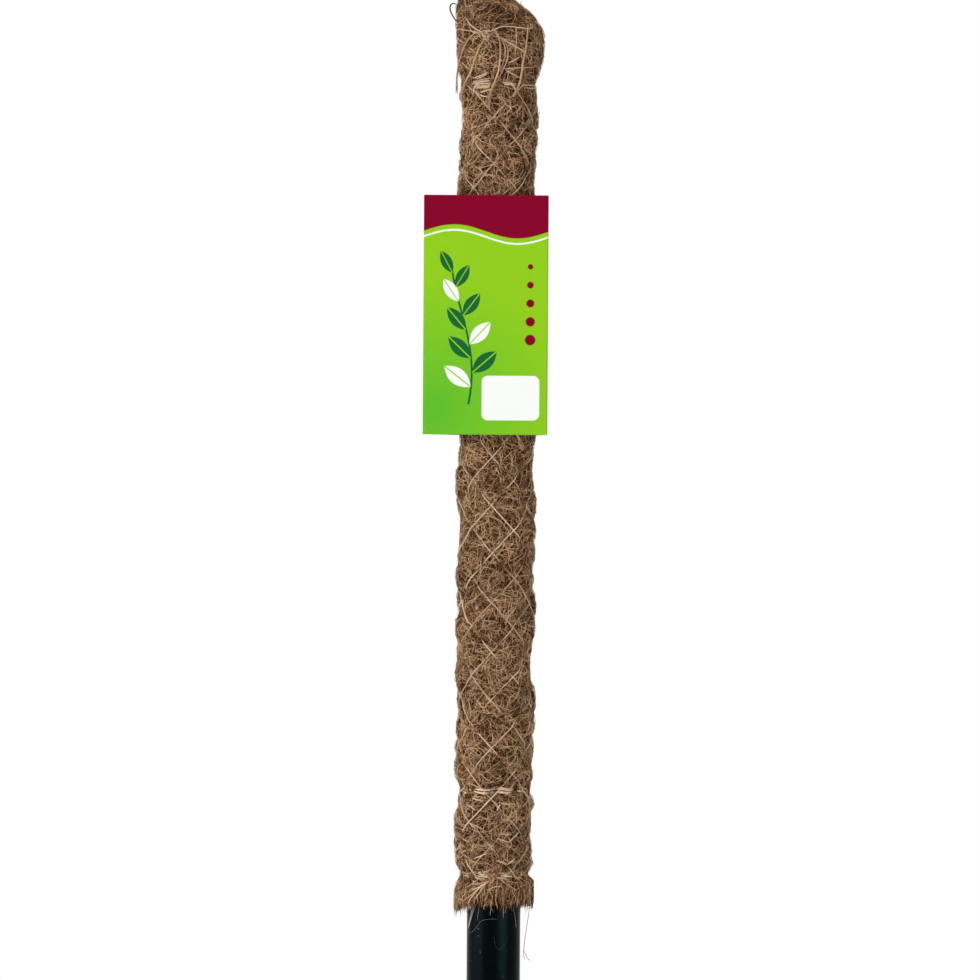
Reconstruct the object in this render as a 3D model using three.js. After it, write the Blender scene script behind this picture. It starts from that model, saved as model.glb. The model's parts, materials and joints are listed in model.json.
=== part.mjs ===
// A moss pole: a plastic tube in a coir mat that crossing twines bind, with a card sleeve as its label.
// Millimetres. The origin is the centre of the tube's lower end, +Z runs up the pole, the label faces -Y.
import * as THREE from "three";

// Tube
const TUBE_DIAMETER = 25;
const TUBE_WALL = 2;
const TUBE_LENGTH = 572;
const TUBE_EDGE_BREAK = 0.4;
const TUBE_FACETS = 48;

// Coir mat, with its thicknesses over the tube and the crown's swell over the quilt
const BARE_FOOT = 171;
const SKIRT_LENGTH = 14.5;
const SKIRT_THICKNESS = 5.9;
const SKIRT_SAG = 2;
const MAT_THICKNESS = 4.1;
const QUILT_HEIGHT = 2.2;
const FOOT_NECK_THICKNESS = 0.9;
const HEAD_NECK_THICKNESS = 2.1;
const CROWN_SWELL = 1.4;
const CROWN_GROOVE = 0.9;
const CROWN_FLARE = 5;
const CAP_THICKNESS = 28;
const SHOULDER_DROP = 11;
const SHOULDER_SLOPE = 0.42;
const CAP_CURVE = 1.3;
const CAP_RINGS = [1, 0.8, 0.5, 0.22];

// Twine
const TWINE_DIAMETER = 0.8;
const TWINES_EACH_WAY = 5;
const ROWS_BETWEEN_TIES = 65;
const FIRST_CROSSING_ANGLE = 102;
const TWINE_SIDES = 5;

// Ties round the pole, their knots and their loose ends
const TURN_GAP = 0.5;
const TIE_SIDES = 6;
const FOOT_TIE_TURNS = 3;
const MIDDLE_TIE_TURNS = 2;
const HEAD_TIE_TURNS = 3;
const MIDDLE_TIE_ROW = 6.5;
const HEAD_TIE_DROP = 18.3;
const CROWN_TIE_RISE = 21.8;
const CROWN_TIE_TILT = 0.25;
const CROWN_KNOT_ANGLE = -15;
const FOOT_KNOT_ANGLE = -3;
const KNOT_LOBE = 3.9;
const KNOT_DEPTH = 0.94;
const KNOT_OPENING = 0.16;
const KNOT_STEPS = 44;
const TAIL_SIDES = 8;
const TAIL_STEPS = 16;

// Label
const CARD_THICKNESS = 0.5;
const LABEL_HEIGHT = 111.2;
const LABEL_DROP = 51.4;
const LABEL_OVERHANG_LEFT = 15.1;
const LABEL_OVERHANG_RIGHT = 4.1;
const LABEL_LAP = 12;
const LABEL_LAP_ANGLE = 70;
const LABEL_ARC_STEPS = 6;

// Clearances
const SEAT = 0.3;
const LABEL_CLEARANCE = 0.8;

// Loose ends of twine at the crown, from the knot or the fold outwards:
// degrees from the knot, distance of the twine's middle from the coir, and height over the crown tie
const TAILS = {
  tail_right: [
    [8.2, 2.4, 3.5], [12, 2.3, 2.1], [15.4, 1.9, -1], [16.7, 1.5, -5], [16.5, 1.4, -9.5],
    [15, 1.2, -15], [11, 1, -19.5], [6, 0.9, -23.5], [2.5, 0.8, -27.5], [1.5, 0.8, -32],
  ],
  tail_left: [
    [-4, 2.3, -2], [-9, 1.9, -4], [-14, 1.5, -7.5], [-20, 1.1, -11.5], [-26, 0.8, -16],
    [-33, 0.8, -19], [-40, 0.8, -21.5], [-46, 0.8, -24.5], [-49, 0.8, -28.5],
  ],
  tail_side: [
    [-12, 2.2, 2], [-19, 1.8, 1.5], [-27, 1.6, -1], [-35, 1.5, -4.5], [-43, 1.3, -8.5],
    [-52, 1.1, -12.5], [-61, 0.8, -16], [-69, 0.8, -19.5], [-74, 0.8, -24],
  ],
  tail_fold: [
    [55, 1, 5.5], [53.5, 1.1, 1.5], [51.5, 1.4, -3], [49, 1.5, -7.5], [47, 1.3, -12],
    [46.5, 1.1, -16.5], [45, 0.9, -20.5], [40.5, 0.8, -24], [35, 0.8, -27],
  ],
};

// Derived sizes
const tubeRadius = TUBE_DIAMETER / 2;
const cellSteps = 4;
const columns = TWINES_EACH_WAY * cellSteps;
const columnAngle = 360 / columns;
const matTop = TUBE_LENGTH + CAP_THICKNESS;
const footTieZ = BARE_FOOT + SKIRT_LENGTH;
const headTieZ = TUBE_LENGTH - HEAD_TIE_DROP;
const rowPitch = (headTieZ - footTieZ) / ROWS_BETWEEN_TIES;
const middleTieZ = footTieZ + (MIDDLE_TIE_ROW + 0.5) * rowPitch;
const crownTieZ = headTieZ + CROWN_TIE_RISE;
const turnPitch = TWINE_DIAMETER + TURN_GAP;
const grooveRadius = tubeRadius + MAT_THICKNESS;
const layer = TWINE_DIAMETER + SEAT;
const poleRadius = grooveRadius + Math.max(QUILT_HEIGHT, 2 * layer);
const crownRadius = poleRadius + CROWN_SWELL;
const labelInner = poleRadius + LABEL_CLEARANCE;
const labelOuter = labelInner + CARD_THICKNESS;
const labelTop = headTieZ - LABEL_DROP;

const root = new THREE.Group();
const radians = THREE.MathUtils.degToRad;

// A point by its angle from the front, positive to the right, its radius and its height.
function fromFront(angle, radius, z) {
  const a = radians(angle);
  return new THREE.Vector3(radius * Math.sin(a), -radius * Math.cos(a), z);
}

function addPiece(name, geometry, color, roughness) {
  const mesh = new THREE.Mesh(geometry, new THREE.MeshStandardMaterial({ color, roughness, metalness: 0 }));
  mesh.name = name;
  root.add(mesh);
}

function meshFrom(points, triangles) {
  const geometry = new THREE.BufferGeometry().setFromPoints(points);
  geometry.setIndex(triangles.flat());
  geometry.computeVertexNormals();
  return geometry;
}

// A round tube along points, as joined rings whose section is carried along without twisting.
function windTube(path, diameter, sides) {
  const points = [];
  const triangles = [];
  const ways = path.map((p, i) => {
    const before = path[Math.max(i - 1, 0)];
    const after = path[Math.min(i + 1, path.length - 1)];
    return after.clone().sub(before).normalize();
  });
  const across = new THREE.Vector3(0, 0, 1).cross(ways[0]);
  path.forEach((centre, step) => {
    across.addScaledVector(ways[step], -across.dot(ways[step])).normalize();
    const third = ways[step].clone().cross(across);
    for (let side = 0; side < sides; side++) {
      const a = (side / sides) * 2 * Math.PI;
      const out = across.clone().multiplyScalar(Math.cos(a)).addScaledVector(third, Math.sin(a));
      points.push(centre.clone().addScaledVector(out, diameter / 2));
    }
  });
  const at = (step, side) => step * sides + (side % sides);
  const last = path.length - 1;
  for (let side = 0; side < sides; side++) {
    for (let step = 0; step < last; step++) {
      triangles.push([at(step, side), at(step, side + 1), at(step + 1, side + 1)]);
      triangles.push([at(step, side), at(step + 1, side + 1), at(step + 1, side)]);
    }
  }
  for (let side = 1; side < sides - 1; side++) {
    triangles.push([at(0, 0), at(0, side + 1), at(0, side)]);
    triangles.push([at(last, 0), at(last, side), at(last, side + 1)]);
  }
  return meshFrom(points, triangles);
}

// The least gap of a wound tube to itself, between points that lie further along it than a given length.
function leastSelfGap(path, diameter, apart) {
  const along = [0];
  path.slice(1).forEach((p, i) => along.push(along[i] + p.distanceTo(path[i])));
  let least = Infinity;
  path.forEach((p, i) => {
    path.forEach((q, j) => {
      if (along[j] - along[i] > apart) least = Math.min(least, p.distanceTo(q) - diameter);
    });
  });
  return least;
}

function addWound(name, path, sides, color, apart) {
  console.log(`${name}: least gap to itself ${leastSelfGap(path, TWINE_DIAMETER, apart).toFixed(2)} mm`);
  addPiece(name, windTube(path, TWINE_DIAMETER, sides), color, 0.85);
}

// Half the height of the strip that a tie's turns need.
function tieHalf(turns) {
  return (turns * turnPitch + TWINE_DIAMETER) / 2 + SEAT;
}

// The mat's rows: each twine goes one column sideways for each row that it climbs, so they meet on a grid.
const tieOf = (row, z, turns, thickness) => ({ row, z, turns, thickness, half: tieHalf(turns) });
const footTie = tieOf(-0.5, footTieZ, FOOT_TIE_TURNS, FOOT_NECK_THICKNESS);
const middleTie = tieOf(MIDDLE_TIE_ROW, middleTieZ, MIDDLE_TIE_TURNS, FOOT_NECK_THICKNESS);
const headTie = tieOf(ROWS_BETWEEN_TIES - 0.5, headTieZ, HEAD_TIE_TURNS, HEAD_NECK_THICKNESS);
const ties = [footTie, middleTie, headTie];
const tieAt = (row) => ties.find((tie) => Math.abs(tie.row - row) < 1);

function rowHeight(row) {
  const tie = tieAt(row);
  if (tie) return tie.z + Math.sign(row - tie.row) * tie.half;
  return footTieZ + (row + 0.5) * rowPitch;
}

// The radius of the bottom of the grooves that the twines press into the mat.
function rowGroove(row) {
  const tie = tieAt(row);
  return tie ? tubeRadius + tie.thickness : grooveRadius;
}

// The mat swells between the twines: 0 in a groove and 1 at the middle of each lozenge.
function quilt(column, row) {
  const rising = Math.sin((Math.PI * (column - row)) / cellSteps);
  const falling = Math.sin((Math.PI * (column + row)) / cellSteps);
  return tieAt(row) ? 0 : Math.abs(rising * falling);
}

const gridAngle = (column) => FIRST_CROSSING_ANGLE + column * columnAngle;

function tubeGeometry() {
  const inner = tubeRadius - TUBE_WALL;
  const profile = [
    [inner, 0],
    [tubeRadius - TUBE_EDGE_BREAK, 0],
    [tubeRadius, TUBE_EDGE_BREAK],
    [tubeRadius, TUBE_LENGTH - TUBE_EDGE_BREAK],
    [tubeRadius - TUBE_EDGE_BREAK, TUBE_LENGTH],
    [inner, TUBE_LENGTH],
    [inner, 0],
  ];
  const outline = profile.map(([r, z]) => new THREE.Vector2(r, z));
  return new THREE.LatheGeometry(outline, TUBE_FACETS).rotateX(Math.PI / 2);
}

// One ring of the mat, from functions of the grid column that give its radius and height.
function matRing(radiusAt, heightAt) {
  return Array.from({ length: columns }, (unused, column) => {
    const flat = fromFront(gridAngle(column), radiusAt(column), 0);
    return flat.setZ(heightAt(column, flat));
  });
}

const crownTieHeight = (x) => crownTieZ - CROWN_TIE_TILT * x;
const shoulderHeight = (x) => matTop - SHOULDER_DROP - SHOULDER_SLOPE * x;

// The mat as rings in order: down its bore, out along its hem, up its quilted outside, over its folded top.
function matRings() {
  const bore = (tubeRadius + SEAT) / Math.cos(radians(columnAngle / 2));
  const skirt = tubeRadius + SKIRT_THICKNESS;
  const lip = layer;
  const footNeck = rowGroove(-1);
  const headNeck = rowGroove(ROWS_BETWEEN_TIES);
  const skirtTop = rowHeight(-1) - 2 * lip;
  const sag = (x) => (SKIRT_SAG * (1 - x / skirt)) / 2;
  const plain = (radius, z) => matRing(() => radius, () => z);
  const rings = [
    plain(bore, TUBE_LENGTH + SEAT),
    plain(bore, BARE_FOOT),
    matRing(() => skirt - SEAT, (column, p) => BARE_FOOT - sag(p.x)),
    matRing(() => skirt, (column, p) => BARE_FOOT + lip - sag(p.x)),
    plain(skirt, skirtTop - lip),
    plain(skirt - lip, skirtTop),
    plain(footNeck, rowHeight(-1) - lip),
  ];
  const gridStart = rings.length;
  for (let row = -1; row <= ROWS_BETWEEN_TIES; row++) {
    const swell = (column) => rowGroove(row) + QUILT_HEIGHT * quilt(column, row);
    rings.push(matRing(swell, () => rowHeight(row)));
  }
  const neckTop = rowHeight(ROWS_BETWEEN_TIES) + lip;
  rings.push(plain(headNeck, neckTop));
  rings.push(plain(crownRadius - CROWN_GROOVE, neckTop + CROWN_FLARE));
  const grooveReach = 3 * lip;
  const besideTie = (side) => {
    return matRing(() => crownRadius, (column, p) => crownTieHeight(p.x) + side * grooveReach);
  };
  rings.push(besideTie(-1));
  rings.push(matRing(() => crownRadius - CROWN_GROOVE, (column, p) => crownTieHeight(p.x)));
  rings.push(besideTie(1));
  CAP_RINGS.forEach((share) => {
    const fall = (p) => (matTop - shoulderHeight(p.x / share)) * share ** CAP_CURVE;
    rings.push(matRing(() => crownRadius * share, (column, p) => matTop - fall(p)));
  });
  return { rings, gridStart };
}

function matGeometry() {
  const { rings, gridStart } = matRings();
  const boreEnd = new THREE.Vector3(0, 0, TUBE_LENGTH + SEAT);
  const top = new THREE.Vector3(0, 0, matTop);
  const points = [boreEnd, ...rings.flat(), top];
  const at = (ring, column) => 1 + ring * columns + (column % columns);
  const triangles = [];
  for (let column = 0; column < columns; column++) {
    triangles.push([0, at(0, column + 1), at(0, column)]);
    for (let ring = 0; ring < rings.length - 1; ring++) {
      const [a, b] = [at(ring, column), at(ring, column + 1)];
      const [c, d] = [at(ring + 1, column + 1), at(ring + 1, column)];
      const row = ring - gridStart - 1;
      const fallingGroove = (((column + row + 1) % cellSteps) + cellSteps) % cellSteps === 0;
      const split = fallingGroove ? [[a, b, d], [b, c, d]] : [[a, b, c], [a, c, d]];
      triangles.push(...split);
    }
    triangles.push([at(rings.length - 1, column), at(rings.length - 1, column + 1), points.length - 1]);
  }
  return meshFrom(points, triangles);
}

// A twine climbs one row for each column. Those that rise to the right pass over the others.
function twinePath(start, turn) {
  const path = [];
  for (let row = -1; row <= ROWS_BETWEEN_TIES; row++) {
    const crosses = (((2 * row) % cellSteps) + cellSteps) % cellSteps === 0;
    const lift = turn > 0 && crosses ? layer : 0;
    const radius = rowGroove(row) + SEAT + TWINE_DIAMETER / 2 + lift;
    path.push(fromFront(gridAngle(start + turn * row), radius, rowHeight(row)));
  }
  return path;
}

// A tie's turns lie side by side over both layers of twine.
function tiePath({ z, turns, thickness }) {
  const radius = tubeRadius + thickness + 2 * layer + SEAT + TWINE_DIAMETER / 2;
  const low = z - (turns * turnPitch) / 2;
  return Array.from({ length: turns * columns + 1 }, (unused, step) => {
    return fromFront(gridAngle(step), radius, low + (step / columns) * turnPitch);
  });
}

function crownTiePath() {
  const radius = crownRadius - CROWN_GROOVE + SEAT + TWINE_DIAMETER / 2;
  const first = Math.ceil((CROWN_KNOT_ANGLE - FIRST_CROSSING_ANGLE) / columnAngle);
  return Array.from({ length: columns }, (unused, step) => {
    const flat = fromFront(gridAngle(first + step), radius, 0);
    return flat.setZ(crownTieHeight(flat.x));
  });
}

// An overhand knot: a trefoil that is left open, lying flat on its tie.
function knotPath(angle, radius, z) {
  const out = fromFront(angle, 1, 0);
  const side = fromFront(angle + 90, 1, 0);
  const reach = KNOT_LOBE / 3;
  const centre = fromFront(angle, radius + KNOT_DEPTH, z);
  return Array.from({ length: KNOT_STEPS + 1 }, (unused, step) => {
    const t = Math.PI / 3 + KNOT_OPENING + (step / KNOT_STEPS) * 2 * (Math.PI - KNOT_OPENING);
    const x = reach * (Math.sin(t) + 2 * Math.sin(2 * t));
    const up = reach * (Math.cos(t) - 2 * Math.cos(2 * t));
    const off = -KNOT_DEPTH * Math.sin(3 * t);
    return centre.clone().addScaledVector(side, x).addScaledVector(out, off).setZ(z + up);
  });
}

// The coir's outside where the loose ends lie, which widens from the quilt to the crown.
function crownSurface(z) {
  const share = THREE.MathUtils.clamp((z - headTieZ) / (crownTieZ - headTieZ), 0, 1);
  return poleRadius + share * CROWN_SWELL;
}

function tailGeometry(route) {
  const points = route.map(([angle, off, rise]) => {
    const z = crownTieZ + rise;
    return fromFront(CROWN_KNOT_ANGLE + angle, crownSurface(z) + off, z);
  });
  const curve = new THREE.CatmullRomCurve3(points);
  console.log(`loose end of ${curve.getLength().toFixed(1)} mm`);
  const section = new THREE.Shape();
  for (let side = 0; side < TAIL_SIDES; side++) {
    const a = (side / TAIL_SIDES) * 2 * Math.PI;
    const move = side ? "lineTo" : "moveTo";
    section[move]((TWINE_DIAMETER / 2) * Math.cos(a), (TWINE_DIAMETER / 2) * Math.sin(a));
  }
  return new THREE.ExtrudeGeometry(section, { steps: TAIL_STEPS, extrudePath: curve, bevelEnabled: false });
}

// The sleeve's section: a flat front, a side panel from each fold, and a back that follows the pole.
function sleeveOutline(outline, radius, foldLeft, foldRight, lap) {
  const front = -Math.PI / 2;
  const corner = (fold) => [radius / Math.cos((fold - front) / 2), (fold + front) / 2];
  const polar = ([r, a]) => [r * Math.cos(a), r * Math.sin(a)];
  const [right, left] = [corner(foldRight), corner(foldLeft - 2 * Math.PI)];
  outline.moveTo(...polar(left));
  outline.lineTo(...polar(right));
  outline.lineTo(...polar([radius, foldRight]));
  if (lap) {
    const from = radians(LABEL_LAP_ANGLE);
    const to = from + LABEL_LAP / radius;
    outline.absarc(0, 0, radius, foldRight, from);
    outline.lineTo(...polar([radius + CARD_THICKNESS, from]));
    outline.absarc(0, 0, radius + CARD_THICKNESS, from, to);
    outline.lineTo(...polar([radius, to]));
    outline.absarc(0, 0, radius, to, foldLeft);
  } else {
    outline.absarc(0, 0, radius, foldRight, foldLeft);
  }
  outline.closePath();
  return outline;
}

function labelGeometry() {
  const front = -Math.PI / 2;
  const foldAt = (x) => 2 * Math.atan2(-labelOuter, x) - front;
  const foldRight = foldAt(labelInner + LABEL_OVERHANG_RIGHT);
  const foldLeft = foldAt(-labelInner - LABEL_OVERHANG_LEFT) + 2 * Math.PI;
  const outside = sleeveOutline(new THREE.Shape(), labelOuter, foldLeft, foldRight, true);
  outside.holes.push(sleeveOutline(new THREE.Path(), labelInner, foldLeft, foldRight, false));
  const options = { depth: LABEL_HEIGHT, bevelEnabled: false, curveSegments: LABEL_ARC_STEPS };
  return new THREE.ExtrudeGeometry(outside, options).translate(0, 0, labelTop - LABEL_HEIGHT);
}

const COIR_BROWN = 0x7a5a3c;
const TWINE_TAN = 0xc7a47a;

addPiece("core_tube", tubeGeometry(), 0x10181a, 0.4);
addPiece("coir_mat", matGeometry(), COIR_BROWN, 0.95);

const halfTurn = Math.PI * tubeRadius;
for (let n = 0; n < TWINES_EACH_WAY; n++) {
  addWound(`left_twine_${n + 1}`, twinePath(n * cellSteps, -1), TWINE_SIDES, TWINE_TAN, halfTurn);
  addWound(`right_twine_${n + 1}`, twinePath(n * cellSteps, 1), TWINE_SIDES, TWINE_TAN, halfTurn);
}

addWound("foot_tie", tiePath(footTie), TIE_SIDES, TWINE_TAN, halfTurn);
addWound("middle_tie", tiePath(middleTie), TIE_SIDES, TWINE_TAN, halfTurn);
addWound("head_tie", tiePath(headTie), TIE_SIDES, TWINE_TAN, halfTurn);
addWound("crown_tie", crownTiePath(), TIE_SIDES, TWINE_TAN, halfTurn);

const tieOutside = tubeRadius + footTie.thickness + 3 * layer;
const crownTieOutside = crownRadius - CROWN_GROOVE + layer;
const knotSeat = SEAT + TWINE_DIAMETER / 2;
const crownKnotX = crownTieOutside * Math.sin(radians(CROWN_KNOT_ANGLE));
const footKnot = knotPath(FOOT_KNOT_ANGLE, tieOutside + knotSeat, footTieZ);
const crownKnot = knotPath(CROWN_KNOT_ANGLE, crownTieOutside + knotSeat, crownTieHeight(crownKnotX));
addWound("foot_knot", footKnot, TIE_SIDES, TWINE_TAN, KNOT_LOBE);
addWound("crown_knot", crownKnot, TIE_SIDES, TWINE_TAN, KNOT_LOBE);

for (const [name, route] of Object.entries(TAILS)) addPiece(name, tailGeometry(route), TWINE_TAN, 0.85);

addPiece("label_sleeve", labelGeometry(), 0x8cc21f, 0.45);

export default root;
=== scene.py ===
# %% [markdown]
# # A coir moss pole
# A plastic tube in a mat of coconut fibre, which crossing twines quilt and ties gather at its ends.
# The CAD frame holds the sizes and the motion. This file dresses it: the smooth solids of the mat and
# of the twine become real fibres, the tube gets its plastic and the sleeve its card and print.

# %% Load the frame
import json
import math

import bmesh
import bpy
import numpy as np
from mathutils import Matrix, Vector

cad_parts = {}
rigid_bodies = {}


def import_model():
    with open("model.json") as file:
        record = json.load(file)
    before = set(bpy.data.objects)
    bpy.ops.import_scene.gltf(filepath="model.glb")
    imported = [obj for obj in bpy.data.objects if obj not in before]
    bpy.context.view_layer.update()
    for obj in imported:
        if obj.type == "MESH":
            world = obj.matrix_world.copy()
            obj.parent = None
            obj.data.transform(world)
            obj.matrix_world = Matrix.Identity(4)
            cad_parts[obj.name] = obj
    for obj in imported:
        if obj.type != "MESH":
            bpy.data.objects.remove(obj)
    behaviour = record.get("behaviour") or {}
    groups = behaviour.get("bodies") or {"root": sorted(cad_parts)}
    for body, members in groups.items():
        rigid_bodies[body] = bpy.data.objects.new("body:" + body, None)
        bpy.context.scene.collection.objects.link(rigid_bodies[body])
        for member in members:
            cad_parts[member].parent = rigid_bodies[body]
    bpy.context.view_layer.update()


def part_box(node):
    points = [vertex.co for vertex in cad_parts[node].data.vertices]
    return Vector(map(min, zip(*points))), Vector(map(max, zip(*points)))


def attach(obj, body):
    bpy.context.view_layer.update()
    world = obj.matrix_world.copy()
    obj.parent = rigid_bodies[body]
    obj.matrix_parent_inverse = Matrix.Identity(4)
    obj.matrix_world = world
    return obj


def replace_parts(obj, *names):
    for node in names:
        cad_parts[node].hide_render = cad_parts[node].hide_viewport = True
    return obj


for leftover in list(bpy.data.objects):
    bpy.data.objects.remove(leftover)

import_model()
MM = 0.001
SEED = 11
rng = np.random.default_rng(SEED)


def put_in_scene(name, data):
    """A new object for the data, linked into the scene and left at the origin."""
    holder = bpy.data.objects.new(name, data)
    bpy.context.scene.collection.objects.link(holder)
    return holder


# %% [markdown]
# ## Camera
# The pole fills the picture from above its planted end to its top, seen level and from far off, so a
# long lens keeps its sides parallel. It leans a little to the right in the picture. The camera rolls by
# that much, because the object itself stands straight.

# %% Camera
CAMERA_DISTANCE = 3.0
VIEW_HEIGHT = 458 * MM
VIEW_CENTRE = (-2.9 * MM, 365.4 * MM)
CAMERA_ROLL = math.radians(-0.35)

lens = bpy.data.cameras.new("camera")
lens.lens = lens.sensor_width * CAMERA_DISTANCE / VIEW_HEIGHT
camera = put_in_scene("camera", lens)
camera.location = (VIEW_CENTRE[0], -CAMERA_DISTANCE, VIEW_CENTRE[1])
camera.rotation_euler = (math.pi / 2, CAMERA_ROLL, 0)
bpy.context.scene.camera = camera
print("lens of", round(lens.lens), "mm")

# %% [markdown]
# ## Sizes from the frame
# The fibres have to follow the solids, so the heights and radii that shape the mat are read from the
# boxes of the CAD nodes. Angles are counted from the front, positive to the right.


# %% Sizes from the frame
def node_box(node):
    low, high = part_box(node)
    return np.array(low), np.array(high)


def middle_height(node):
    low, high = node_box(node)
    return (low[2] + high[2]) / 2


def on_pole(angle, radius, z):
    return np.stack([radius * np.sin(angle), -radius * np.cos(angle), z + 0 * angle], axis=-1)


tube_high = node_box("core_tube")[1]
mat_low, mat_high = node_box("coir_mat")
TUBE_RADIUS = tube_high[0]
TUBE_TOP = tube_high[2]
CROWN_RADIUS = mat_high[1]
MAT_TOP = mat_high[2]
FOOT_TIE = middle_height("foot_tie")
MIDDLE_TIE = middle_height("middle_tie")
HEAD_TIE = middle_height("head_tie")
CROWN_TIE = middle_height("crown_tie")
print("ties at", [round(z / MM, 1) for z in (FOOT_TIE, MIDDLE_TIE, HEAD_TIE, CROWN_TIE)], "mm")

# %% [markdown]
# ## The mat's outside
# The twines cross in lozenges and press the mat in along their lines, so it swells between them. Hand
# stuffing makes it lumpy besides. One function gives the radius for an angle and a height, and every
# fibre, and the dark layer under the fibres, is laid on it. A sculpted mesh would do too, but a
# function can be asked for any point of a fibre.

# %% The mat's outside
TWINES_EACH_WAY = 5
CELL_STEPS = 4
ROWS = 65
FIRST_CROSSING = math.radians(102)
COLUMN_ANGLE = 2 * math.pi / (TWINES_EACH_WAY * CELL_STEPS)
ROW_PITCH = (HEAD_TIE - FOOT_TIE) / ROWS
GROOVE_RADIUS = 16.2 * MM
QUILT_HEIGHT = 2.5 * MM
QUILT_POWER = 0.75
LUMP_HEIGHT = 0.65 * MM
LARGEST_RADIUS = 18.8 * MM
FOOT_WAIST = 15.4 * MM
MIDDLE_WAIST = 15.9 * MM
HEAD_WAIST = 17.1 * MM
WAIST_REACH = 3.6 * MM
SKIRT_RADIUS = 18.5 * MM
SKIRT_SPREAD = 6 * MM
SKIRT_LEAN = 0.45
HEM = mat_low[2] + 2.8 * MM
FLARE = (4 * MM, 14 * MM)
SHOULDER_DROP = 9.7 * MM
SHOULDER_SLOPE = 0.355
CAP_CURVE = 1.05
RIM_ROUNDING = 2.5 * MM
SHOULDER_BULGE = 1.4 * MM
SHOULDER_REACH = 8 * MM
FLANK_PULL = 0.9 * MM
FLANK_REACH = 12 * MM
CREASE_ANGLES = np.radians([-20, 0, 19, 44])
CREASE_HEIGHTS = MAT_TOP - np.array([7, 10, 14.2, 11.1]) * MM
CREASE_DEPTH = 1.8 * MM
CREASE_HALF = 2 * MM
CREASE_LEFT_END = (-0.55, -0.3)
CREASE_RIGHT_END = (-1.0, -0.75)
FLANK_RISE = 0.8
STUFFING_SPREAD = 0.4
STUFFING_LEAST = 0.3
STUFFING_SHIFT = (2, 0.3)
NEAR_TIP = 0.97
TOP_TURN = 0.2
RIM_TUCK = (0.25, 0.2)
LUMPS = 22
MOST_TURNS = 6
LUMP_LENGTHS = (0.09, 0.028)

lump_turns = rng.integers(1, MOST_TURNS + 1, LUMPS) * rng.choice([-1, 1], LUMPS)
lump_climbs = rng.uniform(*(2 * math.pi / length for length in LUMP_LENGTHS), LUMPS)
lump_phases = rng.uniform(0, 2 * math.pi, LUMPS)


def lumps(angle, z):
    waves = np.sin(angle[..., None] * lump_turns + z[..., None] * lump_climbs + lump_phases)
    return waves.sum(-1) / math.sqrt(LUMPS)


def ease(low, high, value):
    share = np.clip((value - low) / (high - low), 0, 1)
    return share * share * (3 - 2 * share)


def coir_radius(angle, z):
    column = (angle - FIRST_CROSSING) / COLUMN_ANGLE
    row = (z - FOOT_TIE) / ROW_PITCH - 0.5
    rising = np.sin(math.pi * (column - row) / CELL_STEPS)
    falling = np.sin(math.pi * (column + row) / CELL_STEPS)
    stuffing = 1 + STUFFING_SPREAD * lumps(angle + STUFFING_SHIFT[0], z + STUFFING_SHIFT[1])
    stuffing = np.maximum(stuffing, STUFFING_LEAST)
    radius = GROOVE_RADIUS + QUILT_HEIGHT * stuffing * np.abs(rising * falling) ** QUILT_POWER
    radius = np.minimum(radius + LUMP_HEIGHT * lumps(angle, z), LARGEST_RADIUS)
    spread = SKIRT_SPREAD * (1 - SKIRT_LEAN * np.sin(angle))
    skirt = np.sin(np.clip((FOOT_TIE - z) / spread, 0, 1) * math.pi / 2)
    radius = np.where(z < FOOT_TIE, FOOT_WAIST + (SKIRT_RADIUS - FOOT_WAIST) * skirt, radius)
    for tie, waist in ((FOOT_TIE, FOOT_WAIST), (MIDDLE_TIE, MIDDLE_WAIST), (HEAD_TIE, HEAD_WAIST)):
        pull = np.exp(-(((z - tie) / WAIST_REACH) ** 2)) * (z >= FOOT_TIE)
        radius = radius + (waist - radius) * pull
    right, left = np.maximum(np.sin(angle), 0) ** 2, np.maximum(-np.sin(angle), 0) ** 2
    bulge = SHOULDER_BULGE * right * np.exp(-(((z - CROWN_TIE) / SHOULDER_REACH) ** 2))
    flank = FLANK_PULL * left * np.exp(-(((z - CROWN_TIE) / FLANK_REACH - FLANK_RISE) ** 2))
    crown = CROWN_RADIUS + LUMP_HEIGHT * lumps(angle, z) + bulge - flank
    return radius + (crown - radius) * ease(HEAD_TIE + FLARE[0], HEAD_TIE + FLARE[1], z)


def rim_height(angle):
    return MAT_TOP - SHOULDER_DROP - SHOULDER_SLOPE * CROWN_RADIUS * np.sin(angle)


def fold_crease(angle, climb):
    """How far a point lies in the crease where the top is folded down: 0 to 1."""
    turn = np.arctan2(np.sin(angle), np.cos(angle))
    off = climb - np.interp(turn, CREASE_ANGLES, CREASE_HEIGHTS)
    ends = ease(*CREASE_LEFT_END, turn) * ease(*CREASE_RIGHT_END, -turn)
    return ends * np.exp(-((off / CREASE_HALF) ** 2))


def drape(angle, climb, lift):
    """Points that lie a lift above the mat, a climb up its side and on over its folded top."""
    rim = rim_height(angle)
    lift = lift - CREASE_DEPTH * fold_crease(angle, climb)
    side = np.minimum(climb, rim)
    over = np.clip((climb - rim) / CROWN_RADIUS, 0, NEAR_TIP)
    rounding = RIM_ROUNDING * (1 + ease(0, 1, -np.sin(angle)))
    corner = np.exp(-(((climb - rim) / rounding) ** 2))
    radius = (coir_radius(angle, side) + lift - RIM_TUCK[0] * rounding * corner) * (1 - over)
    z = side + (MAT_TOP - rim) * (1 - (1 - over) ** CAP_CURVE)
    return on_pole(angle, radius, z + lift * ease(0, TOP_TURN, over) - RIM_TUCK[1] * rounding * corner)


heights = np.linspace(FOOT_TIE, HEAD_TIE, 10)
print("mat radius at the front:", np.round(coir_radius(0 * heights, heights) / MM, 1), "mm")

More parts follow.
